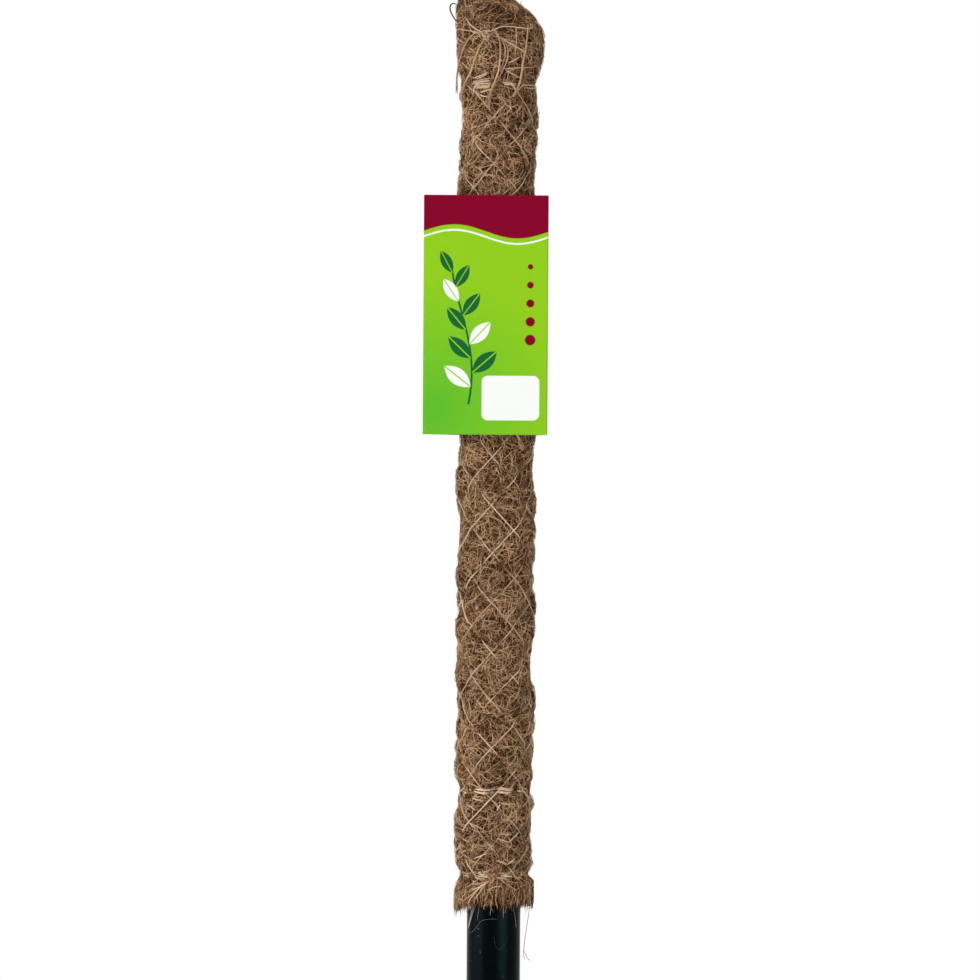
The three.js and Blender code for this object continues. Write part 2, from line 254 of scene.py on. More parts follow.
# %% [markdown]
# ## How a fibre is made
# Each fibre is a thin tube with pointed ends. A curve with a bevel object gives thousands of them at
# once, with a width at every point. It is then made a mesh, because a mesh can hold a map: across,
# the map tells the fibre's tone, and along, how far up the fibre a point lies. All fibres of a tone
# share one column of the map, so a small picture holds the colours of the whole mat.

# %% How a fibre is made
FIBRE_SIDES = 3
TONES = 32
MAP_NAME = "OFBake"
COLUMN_MARGIN = 0.2
END_MARGIN = 0.02
TIP_WELD = 1e-7
FLAT_EDGE = 1e-8

profile = bpy.data.curves.new("fibre_profile", "CURVE")
outline = profile.splines.new("POLY")
outline.points.add(FIBRE_SIDES - 1)
for n, point in enumerate(outline.points):
    turn = 2 * math.pi * n / FIBRE_SIDES
    point.co = (math.cos(turn) / 2, math.sin(turn) / 2, 0, 1)
outline.use_cyclic_u = True
fibre_profile = put_in_scene("fibre_profile", profile)


def map_tones(mesh, points, tones):
    corner = np.zeros(len(mesh.loops), int)
    mesh.loops.foreach_get("vertex_index", corner)
    fibre, place = np.divmod(corner, points * FIBRE_SIDES)
    ring, side = np.divmod(place, FIBRE_SIDES)
    column = np.rint(np.clip(tones, 0, 1) * (TONES - 1))[fibre]
    across = (column + COLUMN_MARGIN + (1 - 2 * COLUMN_MARGIN) * side / (FIBRE_SIDES - 1)) / TONES
    along = END_MARGIN + (1 - 2 * END_MARGIN) * ring / (points - 1)
    while mesh.uv_layers:
        mesh.uv_layers.remove(mesh.uv_layers[0])
    layer = mesh.uv_layers.new(name=MAP_NAME)
    layer.data.foreach_set("uv", np.column_stack([across, along]).ravel())


def close_tips(mesh):
    shape = bmesh.new()
    shape.from_mesh(mesh)
    bmesh.ops.remove_doubles(shape, verts=shape.verts, dist=TIP_WELD)
    bmesh.ops.dissolve_degenerate(shape, dist=FLAT_EDGE, edges=shape.edges)
    bmesh.ops.recalc_face_normals(shape, faces=shape.faces)
    shape.to_mesh(mesh)
    shape.free()


def lay_fibres(name, lines, widths, tones, material):
    """Fibres along lines of shape (fibres, points, 3), with a width at each point and a tone each."""
    points = np.shape(widths)[1]
    curve = bpy.data.curves.new(name, "CURVE")
    curve.dimensions = "3D"
    curve.bevel_mode = "OBJECT"
    curve.bevel_object = fibre_profile
    ones = np.ones((points, 1))
    for line, width in zip(lines, widths):
        spline = curve.splines.new("POLY")
        spline.points.add(points - 1)
        spline.points.foreach_set("co", np.hstack([line, ones]).ravel())
        spline.points.foreach_set("radius", width)
    source = put_in_scene(name + "_lines", curve)
    mesh = bpy.data.meshes.new_from_object(source.evaluated_get(bpy.context.evaluated_depsgraph_get()))
    bpy.data.objects.remove(source)
    bpy.data.curves.remove(curve)
    map_tones(mesh, points, np.asarray(tones))
    close_tips(mesh)
    mesh.shade_smooth()
    mesh.materials.clear()
    mesh.materials.append(material)
    mesh.name = name
    piece = put_in_scene(name, mesh)
    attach(piece, "pole")
    return piece


def pointed(fibres, points, width, tip=0.35):
    """Widths that thin out towards both ends and close there."""
    along = np.linspace(-1, 1, points)
    shape = tip + (1 - tip) * np.sqrt(1 - along**2)
    shape[[0, -1]] = 0
    return np.ones((fibres, 1)) * shape * np.reshape(width, (-1, 1))


# %% [markdown]
# ## Fibre colours
# Coir runs from dark brown to straw, and twine is paler. Both take their colours from one node group,
# which mixes three shades by the fibre's tone and streaks them along its length. It reads only the
# fibre's own map, so what is drawn on the map stays true for every fibre of that tone.


# %% Fibre colours
def shade(red, green, blue):
    """A screen colour in steps of 255, as the linear value that a shader takes."""
    linear = [(c / 255 + 0.055) / 1.055 for c in (red, green, blue)]
    return (*(value**2.4 for value in linear), 1)


def wire(tree, *pairs):
    for output, inlet in pairs:
        tree.links.new(output, inlet)


def add_node(tree, kind, **settings):
    node = tree.nodes.new("ShaderNode" + kind)
    for name, value in settings.items():
        setattr(node, name, value)
    return node


def feed(tree, inlet, value):
    """Link a socket to the inlet, or set the inlet to a plain value."""
    if isinstance(value, bpy.types.NodeSocket):
        tree.links.new(value, inlet)
    else:
        inlet.default_value = value


def calculate(tree, operation, *values, clamp=False):
    node = add_node(tree, "Math", operation=operation, use_clamp=clamp)
    for inlet, value in zip(node.inputs, values):
        feed(tree, inlet, value)
    return node.outputs[0]


def mix_colours(tree, share, first, second, blend="MIX"):
    node = add_node(tree, "Mix", data_type="RGBA", blend_type=blend)
    feed(tree, node.inputs["Factor"], share)
    feed(tree, node.inputs[6], first)
    feed(tree, node.inputs[7], second)
    return node.outputs[2]


def new_group(name, inputs, outputs):
    group = bpy.data.node_groups.new(name, "ShaderNodeTree")
    for label, kind in inputs:
        group.interface.new_socket(label, in_out="INPUT", socket_type=kind)
    for label, kind in outputs:
        group.interface.new_socket(label, in_out="OUTPUT", socket_type=kind)
    return group, group.nodes.new("NodeGroupInput"), group.nodes.new("NodeGroupOutput")


FLOAT, COLOUR, VECTOR = "NodeSocketFloat", "NodeSocketColor", "NodeSocketVector"
RUSSET = (1.12, 0.92, 0.78, 1)
MOST_RUSSET = 0.5
RUSSET_STRIDE = 0.618
STREAK_STRIDE = 7.31
STREAKS_ALONG = 9

fibre_tones, given, result = new_group(
    "fibre_tones",
    [("Map", VECTOR), ("Dark", COLOUR), ("Middle", COLOUR), ("Pale", COLOUR), ("Streaks", FLOAT)],
    [("Color", COLOUR)],
)
split = add_node(fibre_tones, "SeparateXYZ")
wire(fibre_tones, (given.outputs["Map"], split.inputs[0]))
column = calculate(fibre_tones, "FLOOR", calculate(fibre_tones, "MULTIPLY", split.outputs["X"], TONES))
tone = calculate(fibre_tones, "DIVIDE", column, TONES - 1)
lower = calculate(fibre_tones, "MULTIPLY", tone, 2, clamp=True)
upper = calculate(fibre_tones, "MULTIPLY_ADD", tone, 2, -1, clamp=True)
body_colour = mix_colours(fibre_tones, lower, given.outputs["Dark"], given.outputs["Middle"])
body_colour = mix_colours(fibre_tones, upper, body_colour, given.outputs["Pale"])
share = calculate(fibre_tones, "FRACT", calculate(fibre_tones, "MULTIPLY", column, RUSSET_STRIDE))
share = calculate(fibre_tones, "MULTIPLY", share, MOST_RUSSET)
russet = mix_colours(fibre_tones, 1, body_colour, RUSSET, "MULTIPLY")
body_colour = mix_colours(fibre_tones, share, body_colour, russet)
place = add_node(fibre_tones, "CombineXYZ")
wire(
    fibre_tones,
    (calculate(fibre_tones, "MULTIPLY", column, STREAK_STRIDE), place.inputs["X"]),
    (calculate(fibre_tones, "MULTIPLY", split.outputs["Y"], STREAKS_ALONG), place.inputs["Y"]),
)
mottle = add_node(fibre_tones, "TexNoise", noise_dimensions="2D")
mottle.inputs["Scale"].default_value = 1
mottle.inputs["Detail"].default_value = 3
wire(fibre_tones, (place.outputs[0], mottle.inputs["Vector"]))
around = calculate(fibre_tones, "SUBTRACT", mottle.outputs["Fac"], 0.5)
strength = calculate(fibre_tones, "MULTIPLY_ADD", around, given.outputs["Streaks"], 1)
streaked = add_node(fibre_tones, "VectorMath", operation="SCALE")
wire(
    fibre_tones,
    (body_colour, streaked.inputs[0]),
    (strength, streaked.inputs["Scale"]),
    (streaked.outputs[0], result.inputs["Color"]),
)


def new_material(name, roughness, specular):
    material = bpy.data.materials.new(name)
    material.use_nodes = True
    finish = material.node_tree.nodes["Principled BSDF"]
    finish.inputs["Roughness"].default_value = roughness
    finish.inputs["Specular IOR Level"].default_value = specular
    return material, material.node_tree, finish


def fibre_material(name, dark, middle, pale, streaks, roughness, specular):
    material, tree, finish = new_material(name, roughness, specular)
    reader = add_node(tree, "UVMap", uv_map=MAP_NAME)
    tones = add_node(tree, "Group", node_tree=fibre_tones)
    for label, value in (("Dark", dark), ("Middle", middle), ("Pale", pale), ("Streaks", streaks)):
        tones.inputs[label].default_value = value
    wire(tree, (reader.outputs[0], tones.inputs["Map"]), (tones.outputs[0], finish.inputs["Base Color"]))
    return material


coir = fibre_material(
    "coir", shade(51, 28, 7), shade(144, 103, 68), shade(243, 204, 161),
    streaks=0.6, roughness=0.8, specular=0.1,
)
twine = fibre_material(
    "twine", shade(158, 121, 87), shade(218, 182, 144), shade(255, 235, 210),
    streaks=0.35, roughness=0.6, specular=0.3,
)
bleached = fibre_material(
    "bleached_hair", shade(150, 146, 138), shade(212, 208, 198), shade(255, 252, 244),
    streaks=0.3, roughness=0.6, specular=0.3,
)
print("fibre materials:", coir.name, twine.name, bleached.name)

# %% [markdown]
# ## Loose ends of twine
# Four ends of the tying twine hang from the knot and the fold at the crown. Each is a bundle of
# strands that was cut short and frays, a few centimetres long, so it is stiff enough to stand off a
# little where it leaves the knot and then lies on the coir. The routes are those of the solids.

# %% Loose ends of twine
TWINE_DIAMETER = 0.8 * MM
KNOT_ANGLE = -15
TAIL_POINTS = 33
TAIL_BUNDLE = dict(strands=7, twist=1.5, width=0.34 * MM, tip=0.5, tones=(0, 0.7))
TAIL_SPREAD = (0.26, 0.3)
FRAY_FROM = 0.2
TWIST_JITTER = 0.25
STRAND_REACH = (0.6, 1.1)
POLE_RADIUS = 18.8 * MM
# Degrees from the knot, millimetres off the coir and millimetres above the crown tie
TAILS = {
    "tail_right": [
        (8.2, 2.4, 3.5), (12, 2.3, 2.1), (15.4, 1.9, -1), (16.7, 1.5, -5), (16.5, 1.4, -9.5),
        (15, 1.2, -15), (11, 1, -19.5), (6, 0.9, -23.5), (2.5, 0.8, -27.5), (1.5, 0.8, -32),
    ],
    "tail_left": [
        (-4, 2.3, -2), (-9, 1.9, -4), (-14, 1.5, -7.5), (-20, 1.1, -11.5), (-26, 0.8, -16),
        (-33, 0.8, -19), (-40, 0.8, -21.5), (-46, 0.8, -24.5), (-49, 0.8, -28.5),
    ],
    "tail_side": [
        (-12, 2.2, 2), (-19, 1.8, 1.5), (-27, 1.6, -1), (-35, 1.5, -4.5), (-43, 1.3, -8.5),
        (-52, 1.1, -12.5), (-61, 0.8, -16), (-69, 0.8, -19.5), (-74, 0.8, -24),
    ],
    "tail_fold": [
        (55, 1, 5.5), (53.5, 1.1, 1.5), (51.5, 1.4, -3), (49, 1.5, -7.5), (47, 1.3, -12),
        (46.5, 1.1, -16.5), (45, 0.9, -20.5), (40.5, 0.8, -24), (35, 0.8, -27),
    ],
}


def smooth_line(points, count):
    """A smooth curve through the points, as a row of count points."""
    points = np.asarray(points, float)
    ends = np.vstack([2 * points[0] - points[1], points, 2 * points[-1] - points[-2]])
    at = np.linspace(0, len(points) - 1, count)
    step = np.minimum(at.astype(int), len(points) - 2)
    t = (at - step)[:, None]
    a, b, c, d = ends[step], ends[step + 1], ends[step + 2], ends[step + 3]
    return 0.5 * (2 * b + (c - a) * t + (2 * a - 5 * b + 4 * c - d) * t**2 + (3 * b - a - 3 * c + d) * t**3)


def path_length(line):
    return float(np.linalg.norm(np.diff(line, axis=0), axis=1).sum())


def strands_along(line, strands, spread, turns):
    """Strands that twist round a line, as far from it as spread says, which may change along it."""
    way = np.gradient(line, axis=0)
    way /= np.linalg.norm(way, axis=1, keepdims=True)
    out = line * [1, 1, 0]
    out -= way * (out * way).sum(1, keepdims=True)
    out /= np.linalg.norm(out, axis=1, keepdims=True)
    beside = np.cross(way, out)
    along = np.linspace(0, 1, len(line))
    start = 2 * math.pi * np.arange(strands) / strands
    phase = start[:, None] + 2 * math.pi * turns * along + rng.normal(0, TWIST_JITTER, (strands, 1))
    reach = np.asarray(spread) * rng.uniform(*STRAND_REACH, (strands, 1))
    return line + (reach * np.cos(phase))[..., None] * out + (reach * np.sin(phase))[..., None] * beside


def lay_twine(name, node, line, strands, spread, twist, width, tip, tones):
    """A bundle of strands along a line, which takes the place of a node's solid."""
    lines = strands_along(line, strands, spread, twist)
    widths = pointed(strands, len(line), width, tip)
    bundle = lay_fibres(name, lines, widths, rng.uniform(*tones, strands), twine)
    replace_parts(bundle, node)
    return bundle


def tail_line(route):
    points = []
    for angle, off, rise in route:
        z = CROWN_TIE + rise * MM
        swell = np.clip((z - HEAD_TIE) / (CROWN_TIE - HEAD_TIE), 0, 1)
        radius = POLE_RADIUS + (CROWN_RADIUS - POLE_RADIUS) * swell + off * MM
        points.append(on_pole(np.radians(KNOT_ANGLE + angle), radius, z))
    return smooth_line(points, TAIL_POINTS)


for name, route in TAILS.items():
    line = tail_line(route)
    longer = np.vstack([2 * line[0] - line[1], line, 2 * line[-1] - line[-2]])
    fray = np.linspace(FRAY_FROM, 1, len(longer)) ** 3
    spread = (TAIL_SPREAD[0] + TAIL_SPREAD[1] * fray) * MM
    tail = lay_twine("loose_" + name, name, longer, spread=spread, **TAIL_BUNDLE)
    print(name, round(path_length(line) / MM, 1), "mm")

# %% [markdown]
# ## Coir fibres
# The mat is thousands of short curly fibres, laid at random by a needle machine. Each one here starts
# somewhere on the mat, wanders with a curl of its own, rises and dives a little and ends under its
# neighbours. Deep fibres are given a darker tone, painted shade that gives the mat the dark gaps that
# coir has. The lot is cut into pieces by height, so that no piece grows too large.

# %% Coir fibres
COIR_FIBRES = 41000
FIBRE_POINTS = 8
PIECE_FIBRES = 4000
FIBRE_LENGTH = (5 * MM, 16 * MM)
FIBRE_WIDTH = (0.15 * MM, 0.31 * MM)
CURL = 1 / (8 * MM)
EVEN_STEPS = (0.7548776662, 0.5698402910)
BELOW_FOOT_TIE = 8 * MM
OVER_RIM = 0.9
DEEPEST = 1.6 * MM
DEPTH_POWER = 0.9
PROUD = 0.25 * MM
WAVE = 0.42 * MM
BENDS = (2, 6)
ANY_PHASE = (0, 6.3)
HIGHEST = 0.5 * MM
DIVE = 0.7 * MM
RAGGED_HEM = 0.8 * MM
COIR_TONE = 0.71
COIR_PAINTED_SHADE_BY_DEPTH = 0.42
COIR_TONE_SPREAD = 0.52
CREASE_SHADE = 0.5
BITE_SHADE = 0.24
BITE_REACH = 2.5 * MM


def wander(fibres, points, length, curl):
    """Flat curly paths from their middle outwards: steps sideways and upwards."""
    heading = rng.uniform(0, 2 * math.pi, (fibres, 1))
    bend = rng.normal(0, curl, (fibres, 1)) + rng.normal(0, curl, (fibres, points))
    step = np.reshape(length, (-1, 1)) / (points - 1)
    way = heading + np.cumsum(bend * step, axis=1)
    sideways, upwards = np.cumsum(step * np.cos(way), axis=1), np.cumsum(step * np.sin(way), axis=1)
    middle = points // 2
    return sideways - sideways[:, middle : middle + 1], upwards - upwards[:, middle : middle + 1]


def ragged(angle):
    """How far the mat's cut edge strays up and down."""
    return RAGGED_HEM * lumps(3 * angle, 0 * angle)


length = rng.uniform(*FIBRE_LENGTH, COIR_FIBRES)
sideways, upwards = wander(COIR_FIBRES, FIBRE_POINTS, length, CURL)
number = np.arange(COIR_FIBRES)[:, None]
angle = 2 * math.pi * (number * EVEN_STEPS[0] % 1)
top = rim_height(angle) + OVER_RIM * CROWN_RADIUS
low = FOOT_TIE - BELOW_FOOT_TIE
climb = low + (top - low) * (number * EVEN_STEPS[1] % 1)
depth = PROUD - DEEPEST * rng.uniform(0, 1, (COIR_FIBRES, 1)) ** DEPTH_POWER
along = np.linspace(-1, 1, FIBRE_POINTS)
dip = along**6
wave = np.sin(along * rng.uniform(*BENDS, (COIR_FIBRES, 1)) + rng.uniform(*ANY_PHASE, (COIR_FIBRES, 1)))
lift = np.minimum(depth + WAVE * wave, HIGHEST) - DIVE * dip
cut = HEM + ragged(angle)
climb = cut + np.abs(climb + upwards - cut)
lines = drape(angle + sideways / GROOVE_RADIUS, climb, lift)
widths = pointed(COIR_FIBRES, FIBRE_POINTS, rng.uniform(*FIBRE_WIDTH, COIR_FIBRES))
# Painted shade: deeper fibres get a darker tone, and so do fibres in the fold's crease and where the ties
# bite.
tones = COIR_TONE + COIR_PAINTED_SHADE_BY_DEPTH * depth[:, 0] / MM + rng.normal(0, COIR_TONE_SPREAD, COIR_FIBRES)
centre = climb[:, FIBRE_POINTS // 2]
tones = tones - CREASE_SHADE * fold_crease(angle, climb)[:, FIBRE_POINTS // 2]
for tie in (FOOT_TIE, MIDDLE_TIE, HEAD_TIE):
    tones = tones - BITE_SHADE * np.exp(-(((centre - tie) / BITE_REACH) ** 2))
order = np.argsort(centre)
for n, chosen in enumerate(np.array_split(order, COIR_FIBRES // PIECE_FIBRES)):
    piece = lay_fibres(f"coir_fibres_{n + 1}", lines[chosen], widths[chosen], tones[chosen], coir)
    print(piece.name, len(chosen), "fibres", len(piece.data.polygons), "faces")

# %% [markdown]
# ## Fibres across the top
# The folded top is seen from above, where fibres that only climb the sides would all meet in one point.
# A few hundred more are wandered in plan, across the top, and then laid down on it.

# %% Fibres across the top
TOP_FIBRES = 900
TOP_REACH = 0.8
TOP_DEPTH = (-0.9, 0.3)
TOP_DIVE = 0.5 * MM
TOP_TONE = 0.62
TOP_PAINTED_SHADE_BY_DEPTH = 0.4
TOP_TONE_SPREAD = 0.3

sideways, upwards = wander(TOP_FIBRES, FIBRE_POINTS, rng.uniform(*FIBRE_LENGTH, TOP_FIBRES), CURL)
turn = rng.uniform(0, 2 * math.pi, (TOP_FIBRES, 1))
reach = TOP_REACH * CROWN_RADIUS * np.sqrt(rng.uniform(0, 1, (TOP_FIBRES, 1)))
x, y = reach * np.sin(turn) + sideways, upwards - reach * np.cos(turn)
angle = np.arctan2(x, -y)
rim = rim_height(angle)
climb = rim + CROWN_RADIUS * (1 - np.hypot(x, y) / coir_radius(angle, rim))
depth = rng.uniform(*TOP_DEPTH, (TOP_FIBRES, 1)) * MM
lines = drape(angle, climb, depth - TOP_DIVE * dip)
widths = pointed(TOP_FIBRES, FIBRE_POINTS, rng.uniform(*FIBRE_WIDTH, TOP_FIBRES))
# Painted shade: deeper fibres across the top get a darker tone.
tones = TOP_TONE + TOP_PAINTED_SHADE_BY_DEPTH * depth[:, 0] / MM + rng.normal(0, TOP_TONE_SPREAD, TOP_FIBRES)
lay_fibres("top_fibres", lines, widths, tones, coir)
print("fibres across the top:", TOP_FIBRES)

# %% [markdown]
# ## The dark layer of painted shade under the fibres
# Between the fibres one looks into the mat, not through it. A closed skin under them, spun from a
# profile and pressed into the same quilt, stops the view with a dark, uneven brown: the mat's brown,
# darkened as painted shade of its depths.

# %% The dark layer of painted shade under the fibres
SKIN_DEPTH = 1.5 * MM
SKIN_STEPS = 96
SKIN_ROWS = 240
SKIN_BORE = TUBE_RADIUS + 0.3 * MM
SKIN_HEM = HEM + 2 * MM
SKIN_PAINTED_SHADE_COLOURS = (shade(45, 28, 12), shade(100, 66, 36))
TANGLE_SCALE = 900
WELD = 1e-6


def spin_round(shape, places, steps, closed=False):
    """Spin a chain of points, each a distance from the axis and a height, into a round shape."""
    chain = [shape.verts.new((0, -radius, z)) for radius, z in places]
    for first, second in zip(chain, chain[1:] + chain[:1] * closed):
        shape.edges.new((first, second))
    bmesh.ops.spin(
        shape, geom=shape.verts[:] + shape.edges[:], cent=(0, 0, 0), axis=(0, 0, 1), angle=2 * math.pi,
        steps=steps, use_merge=True,
    )


def mesh_from(shape, name):
    mesh = bpy.data.meshes.new(name)
    shape.to_mesh(mesh)
    shape.free()
    return mesh


def object_noise(tree, scale, detail, distortion=0):
    """Noise that is fixed to the object."""
    where = add_node(tree, "TexCoord")
    grain = add_node(tree, "TexNoise")
    for label, value in (("Scale", scale), ("Detail", detail), ("Distortion", distortion)):
        grain.inputs[label].default_value = value
    wire(tree, (where.outputs["Object"], grain.inputs["Vector"]))
    return grain.outputs["Fac"]


skin = bmesh.new()
rise = np.linspace(SKIN_HEM, MAT_TOP - SHOULDER_DROP + NEAR_TIP * CROWN_RADIUS, SKIN_ROWS)
inside = [(SKIN_BORE, TUBE_TOP), (SKIN_BORE, SKIN_HEM)]
spin_round(skin, inside + [(CROWN_RADIUS, z) for z in rise], SKIN_STEPS)
for vert in skin.verts:
    if math.hypot(vert.co.x, vert.co.y) > SKIN_BORE + MM:
        angle = np.array(math.atan2(vert.co.x, -vert.co.y))
        z = vert.co.z
        slant = rim_height(angle) - (MAT_TOP - SHOULDER_DROP) if z > CROWN_TIE else 0
        vert.co = drape(angle, np.array(z + slant), -SKIN_DEPTH)
bmesh.ops.remove_doubles(skin, verts=skin.verts, dist=WELD)
bmesh.ops.holes_fill(skin, edges=[edge for edge in skin.edges if edge.is_boundary], sides=0)
bmesh.ops.recalc_face_normals(skin, faces=skin.faces)
mesh = mesh_from(skin, "coir_shade_skin")
mesh.shade_smooth()

# Painted shade: the skin's two dark browns stand for the shaded depths of the mat.
under, tree, finish = new_material("coir_shade_skin", roughness=0.95, specular=0.1)
tangle = object_noise(tree, TANGLE_SCALE, detail=4, distortion=1.5)
wire(tree, (mix_colours(tree, tangle, *SKIN_PAINTED_SHADE_COLOURS), finish.inputs["Base Color"]))
mesh.materials.append(under)
coir_shade_skin = put_in_scene("coir_shade_skin", mesh)
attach(coir_shade_skin, "pole")
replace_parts(coir_shade_skin, "coir_mat")
print("skin of", len(mesh.polygons), "faces")

# %% [markdown]
# ## The fringe at the hem
# Below the foot tie the mat is cut off. Its fibres spread out from the tie and hang down over the
# tube as a ragged skirt, most of them upright and in small tufts. At the left it hangs lower, and a few
# fibres everywhere hang lower still.

# %% The fringe at the hem
FRINGE_FIBRES = 2000
FRINGE_POINTS = 9
TUFT = 2 * math.pi / 94
TUFT_PULL = 0.55
FRINGE_START = 12 * MM
FRINGE_START_POWER = 0.8
FRINGE_END = (0.6, 1)
FRINGE_PROUD = 0.3 * MM
FRINGE_DEPTH = 1.2
FRINGE_DROOP = (-0.5, 1.2)
FRINGE_LEAN = 0.08
FRINGE_WANDER = 0.02
FRINGE_WIDTH = (0.15, 0.3)
FRINGE_TONE = (0.66, 0.4)
FRINGE_PAINTED_SHADE_BY_DEPTH = 0.5
LEFT_SIDE = (0.5, 1)
LEFT_HANG = 2.6 * MM
LEFT_GLOW = 0.2
STRAGGLERS = 0.93
STRAGGLER_HANG = 5 * MM
TUBE_GAP = 0.4 * MM

down = np.linspace(0, 1, FRINGE_POINTS)
angle = rng.uniform(0, 2 * math.pi, (FRINGE_FIBRES, 1))
angle = angle + TUFT_PULL * (np.rint(angle / TUFT) * TUFT - angle)
begin = FOOT_TIE - FRINGE_START * rng.uniform(0, 1, (FRINGE_FIBRES, 1)) ** FRINGE_START_POWER
end = HEM + rng.normal(*FRINGE_END, (FRINGE_FIBRES, 1)) * MM + ragged(angle)
end = end - LEFT_HANG * ease(*LEFT_SIDE, -np.sin(angle))
end = end - STRAGGLER_HANG * ease(STRAGGLERS, 1, rng.uniform(0, 1, angle.shape))
z = begin + (end - begin) * down
depth = np.abs(rng.normal(0, FRINGE_DEPTH, (FRINGE_FIBRES, 1))) * MM
droop = rng.uniform(*FRINGE_DROOP, depth.shape) * MM * down**2
radius = coir_radius(angle + 0 * z, z) + FRINGE_PROUD - depth - droop
radius = np.maximum(radius, TUBE_RADIUS + TUBE_GAP)
angle = angle + rng.normal(0, FRINGE_LEAN, (FRINGE_FIBRES, 1)) * down
angle = angle + np.cumsum(rng.normal(0, FRINGE_WANDER, (FRINGE_FIBRES, FRINGE_POINTS)), axis=1)
lines = on_pole(angle, radius, z)
widths = pointed(FRINGE_FIBRES, FRINGE_POINTS, rng.uniform(*FRINGE_WIDTH, FRINGE_FIBRES) * MM)
# Painted shade: fringe fibres that lie deeper get a darker tone.
tones = rng.normal(*FRINGE_TONE, FRINGE_FIBRES) - FRINGE_PAINTED_SHADE_BY_DEPTH * depth[:, 0] / MM
tones = tones + LEFT_GLOW * ease(*LEFT_SIDE, -np.sin(angle[:, 0]))
lay_fibres("hem_fringe", lines, widths, tones, coir)
print("fringe of", FRINGE_FIBRES, "fibres")

# %% [markdown]
# ## The crossing twines
# Five twines wind up the pole each way, in the lines between the lozenges. They are thin bundles of
# pale strands, hardly twisted. Those that rise to the right lie over the others. Each follows its own
# solid, with the small wander of a hand-fed thread, and sinks under the coir for stretches.

# %% The crossing twines
TWINE_POINTS = 340
TWINE_ENDS = (-0.8, ROWS - 0.2)
STRAND_WIDTH = 0.3 * MM
TWINE_BUNDLE = dict(strands=3, spread=0.18 * MM, twist=26, width=STRAND_WIDTH, tip=0.9, tones=(0.5, 1))
TWINE_STAND = 0.7 * MM
CROSSING_LIFT = 0.6 * MM
BURY = 1.25 * MM
BURY_RANGE = (-0.3, 0.5)
BURY_WAVES = (2.3 * MM, 4.1 * MM, 7.3 * MM)
SWAY = 0.5 * MM
SWAY_WAVES = (11 * MM, 23 * MM, 41 * MM)


def slow_waves(position, lengths):
    """A wandering value from about -1 to 1, from sine waves of the given lengths."""
    return sum(np.sin(position / reach + rng.uniform(*ANY_PHASE)) for reach in lengths) / len(lengths) ** 0.5


def twine_line(start, turn):
    row = np.linspace(*TWINE_ENDS, TWINE_POINTS)
    z = FOOT_TIE + (row + 0.5) * ROW_PITCH
    angle = FIRST_CROSSING + COLUMN_ANGLE * (start + turn * row)
    bury = BURY * ease(*BURY_RANGE, slow_waves(z, BURY_WAVES))
    radius = coir_radius(angle, z) + TWINE_STAND - bury
    if turn > 0:
        radius = radius + CROSSING_LIFT * (0.5 + 0.5 * np.cos(math.pi * row))
    sway = SWAY * slow_waves(z, SWAY_WAVES)
    return on_pole(angle + sway / GROOVE_RADIUS, radius, z)


for n in range(TWINES_EACH_WAY):
    for side, turn in (("left", -1), ("right", 1)):
        line = twine_line(n * CELL_STEPS, turn)
        lay_twine(f"{side}_thread_{n + 1}", f"{side}_twine_{n + 1}", line, **TWINE_BUNDLE)
print("threads:", 2 * TWINES_EACH_WAY)

# %% [markdown]
# ## Ties and knots
# At the foot, above it and at the head a few turns of twine gather the mat. Their strands show in short
# patches, where they lie fanned out side by side, and dive under the coir between them. A slanting tie
# holds the folded top down, and a knot closes it at the front. The knots are overhand knots, so their
# line is an open trefoil.

# %% Ties and knots
BAND_STEPS = 72
PATCHES = 9
FIRST_PATCH = math.radians(17)
PATCH_SHIFT = 0.1
PATCH_WAVES = (2.9, 1.3)
STRAND_SHIFT = 0.4 * PATCH_SHIFT
STRAND_WAVES = (1.7, 0.8)
BARE_RANGE = (-0.1, 0.8)
SIDE_FADE = 0.25
TURN_GAP = 1.3 * MM
STRAY = 0.45 * MM
STRAY_WAVES = (2.7, 1.1, 0.6)
STRAY_RANGE = (0.45, 1)
FAN = (-0.15 * MM, 0.9 * MM)
TIE_RISE = 1.95 * MM
TIE_SINK = 1.35 * MM
TIE_WOBBLE = 0.12 * MM
WOBBLE_WAVES = (0.9, 0.4)
TIE_WIDTH = 0.32 * MM
CROWN_POINTS = 90
CROWN_SLANT = 0.25
CROWN_BUNDLE = dict(strands=5, spread=0.3 * MM, twist=6, width=0.34 * MM, tip=0.8, tones=(0.3, 1))
KNOT_POINTS = 90
KNOT_OPENING = 0.16
KNOT_BUNDLE = dict(strands=9, spread=0.45 * MM, twist=2, width=0.28 * MM, tip=0.8)


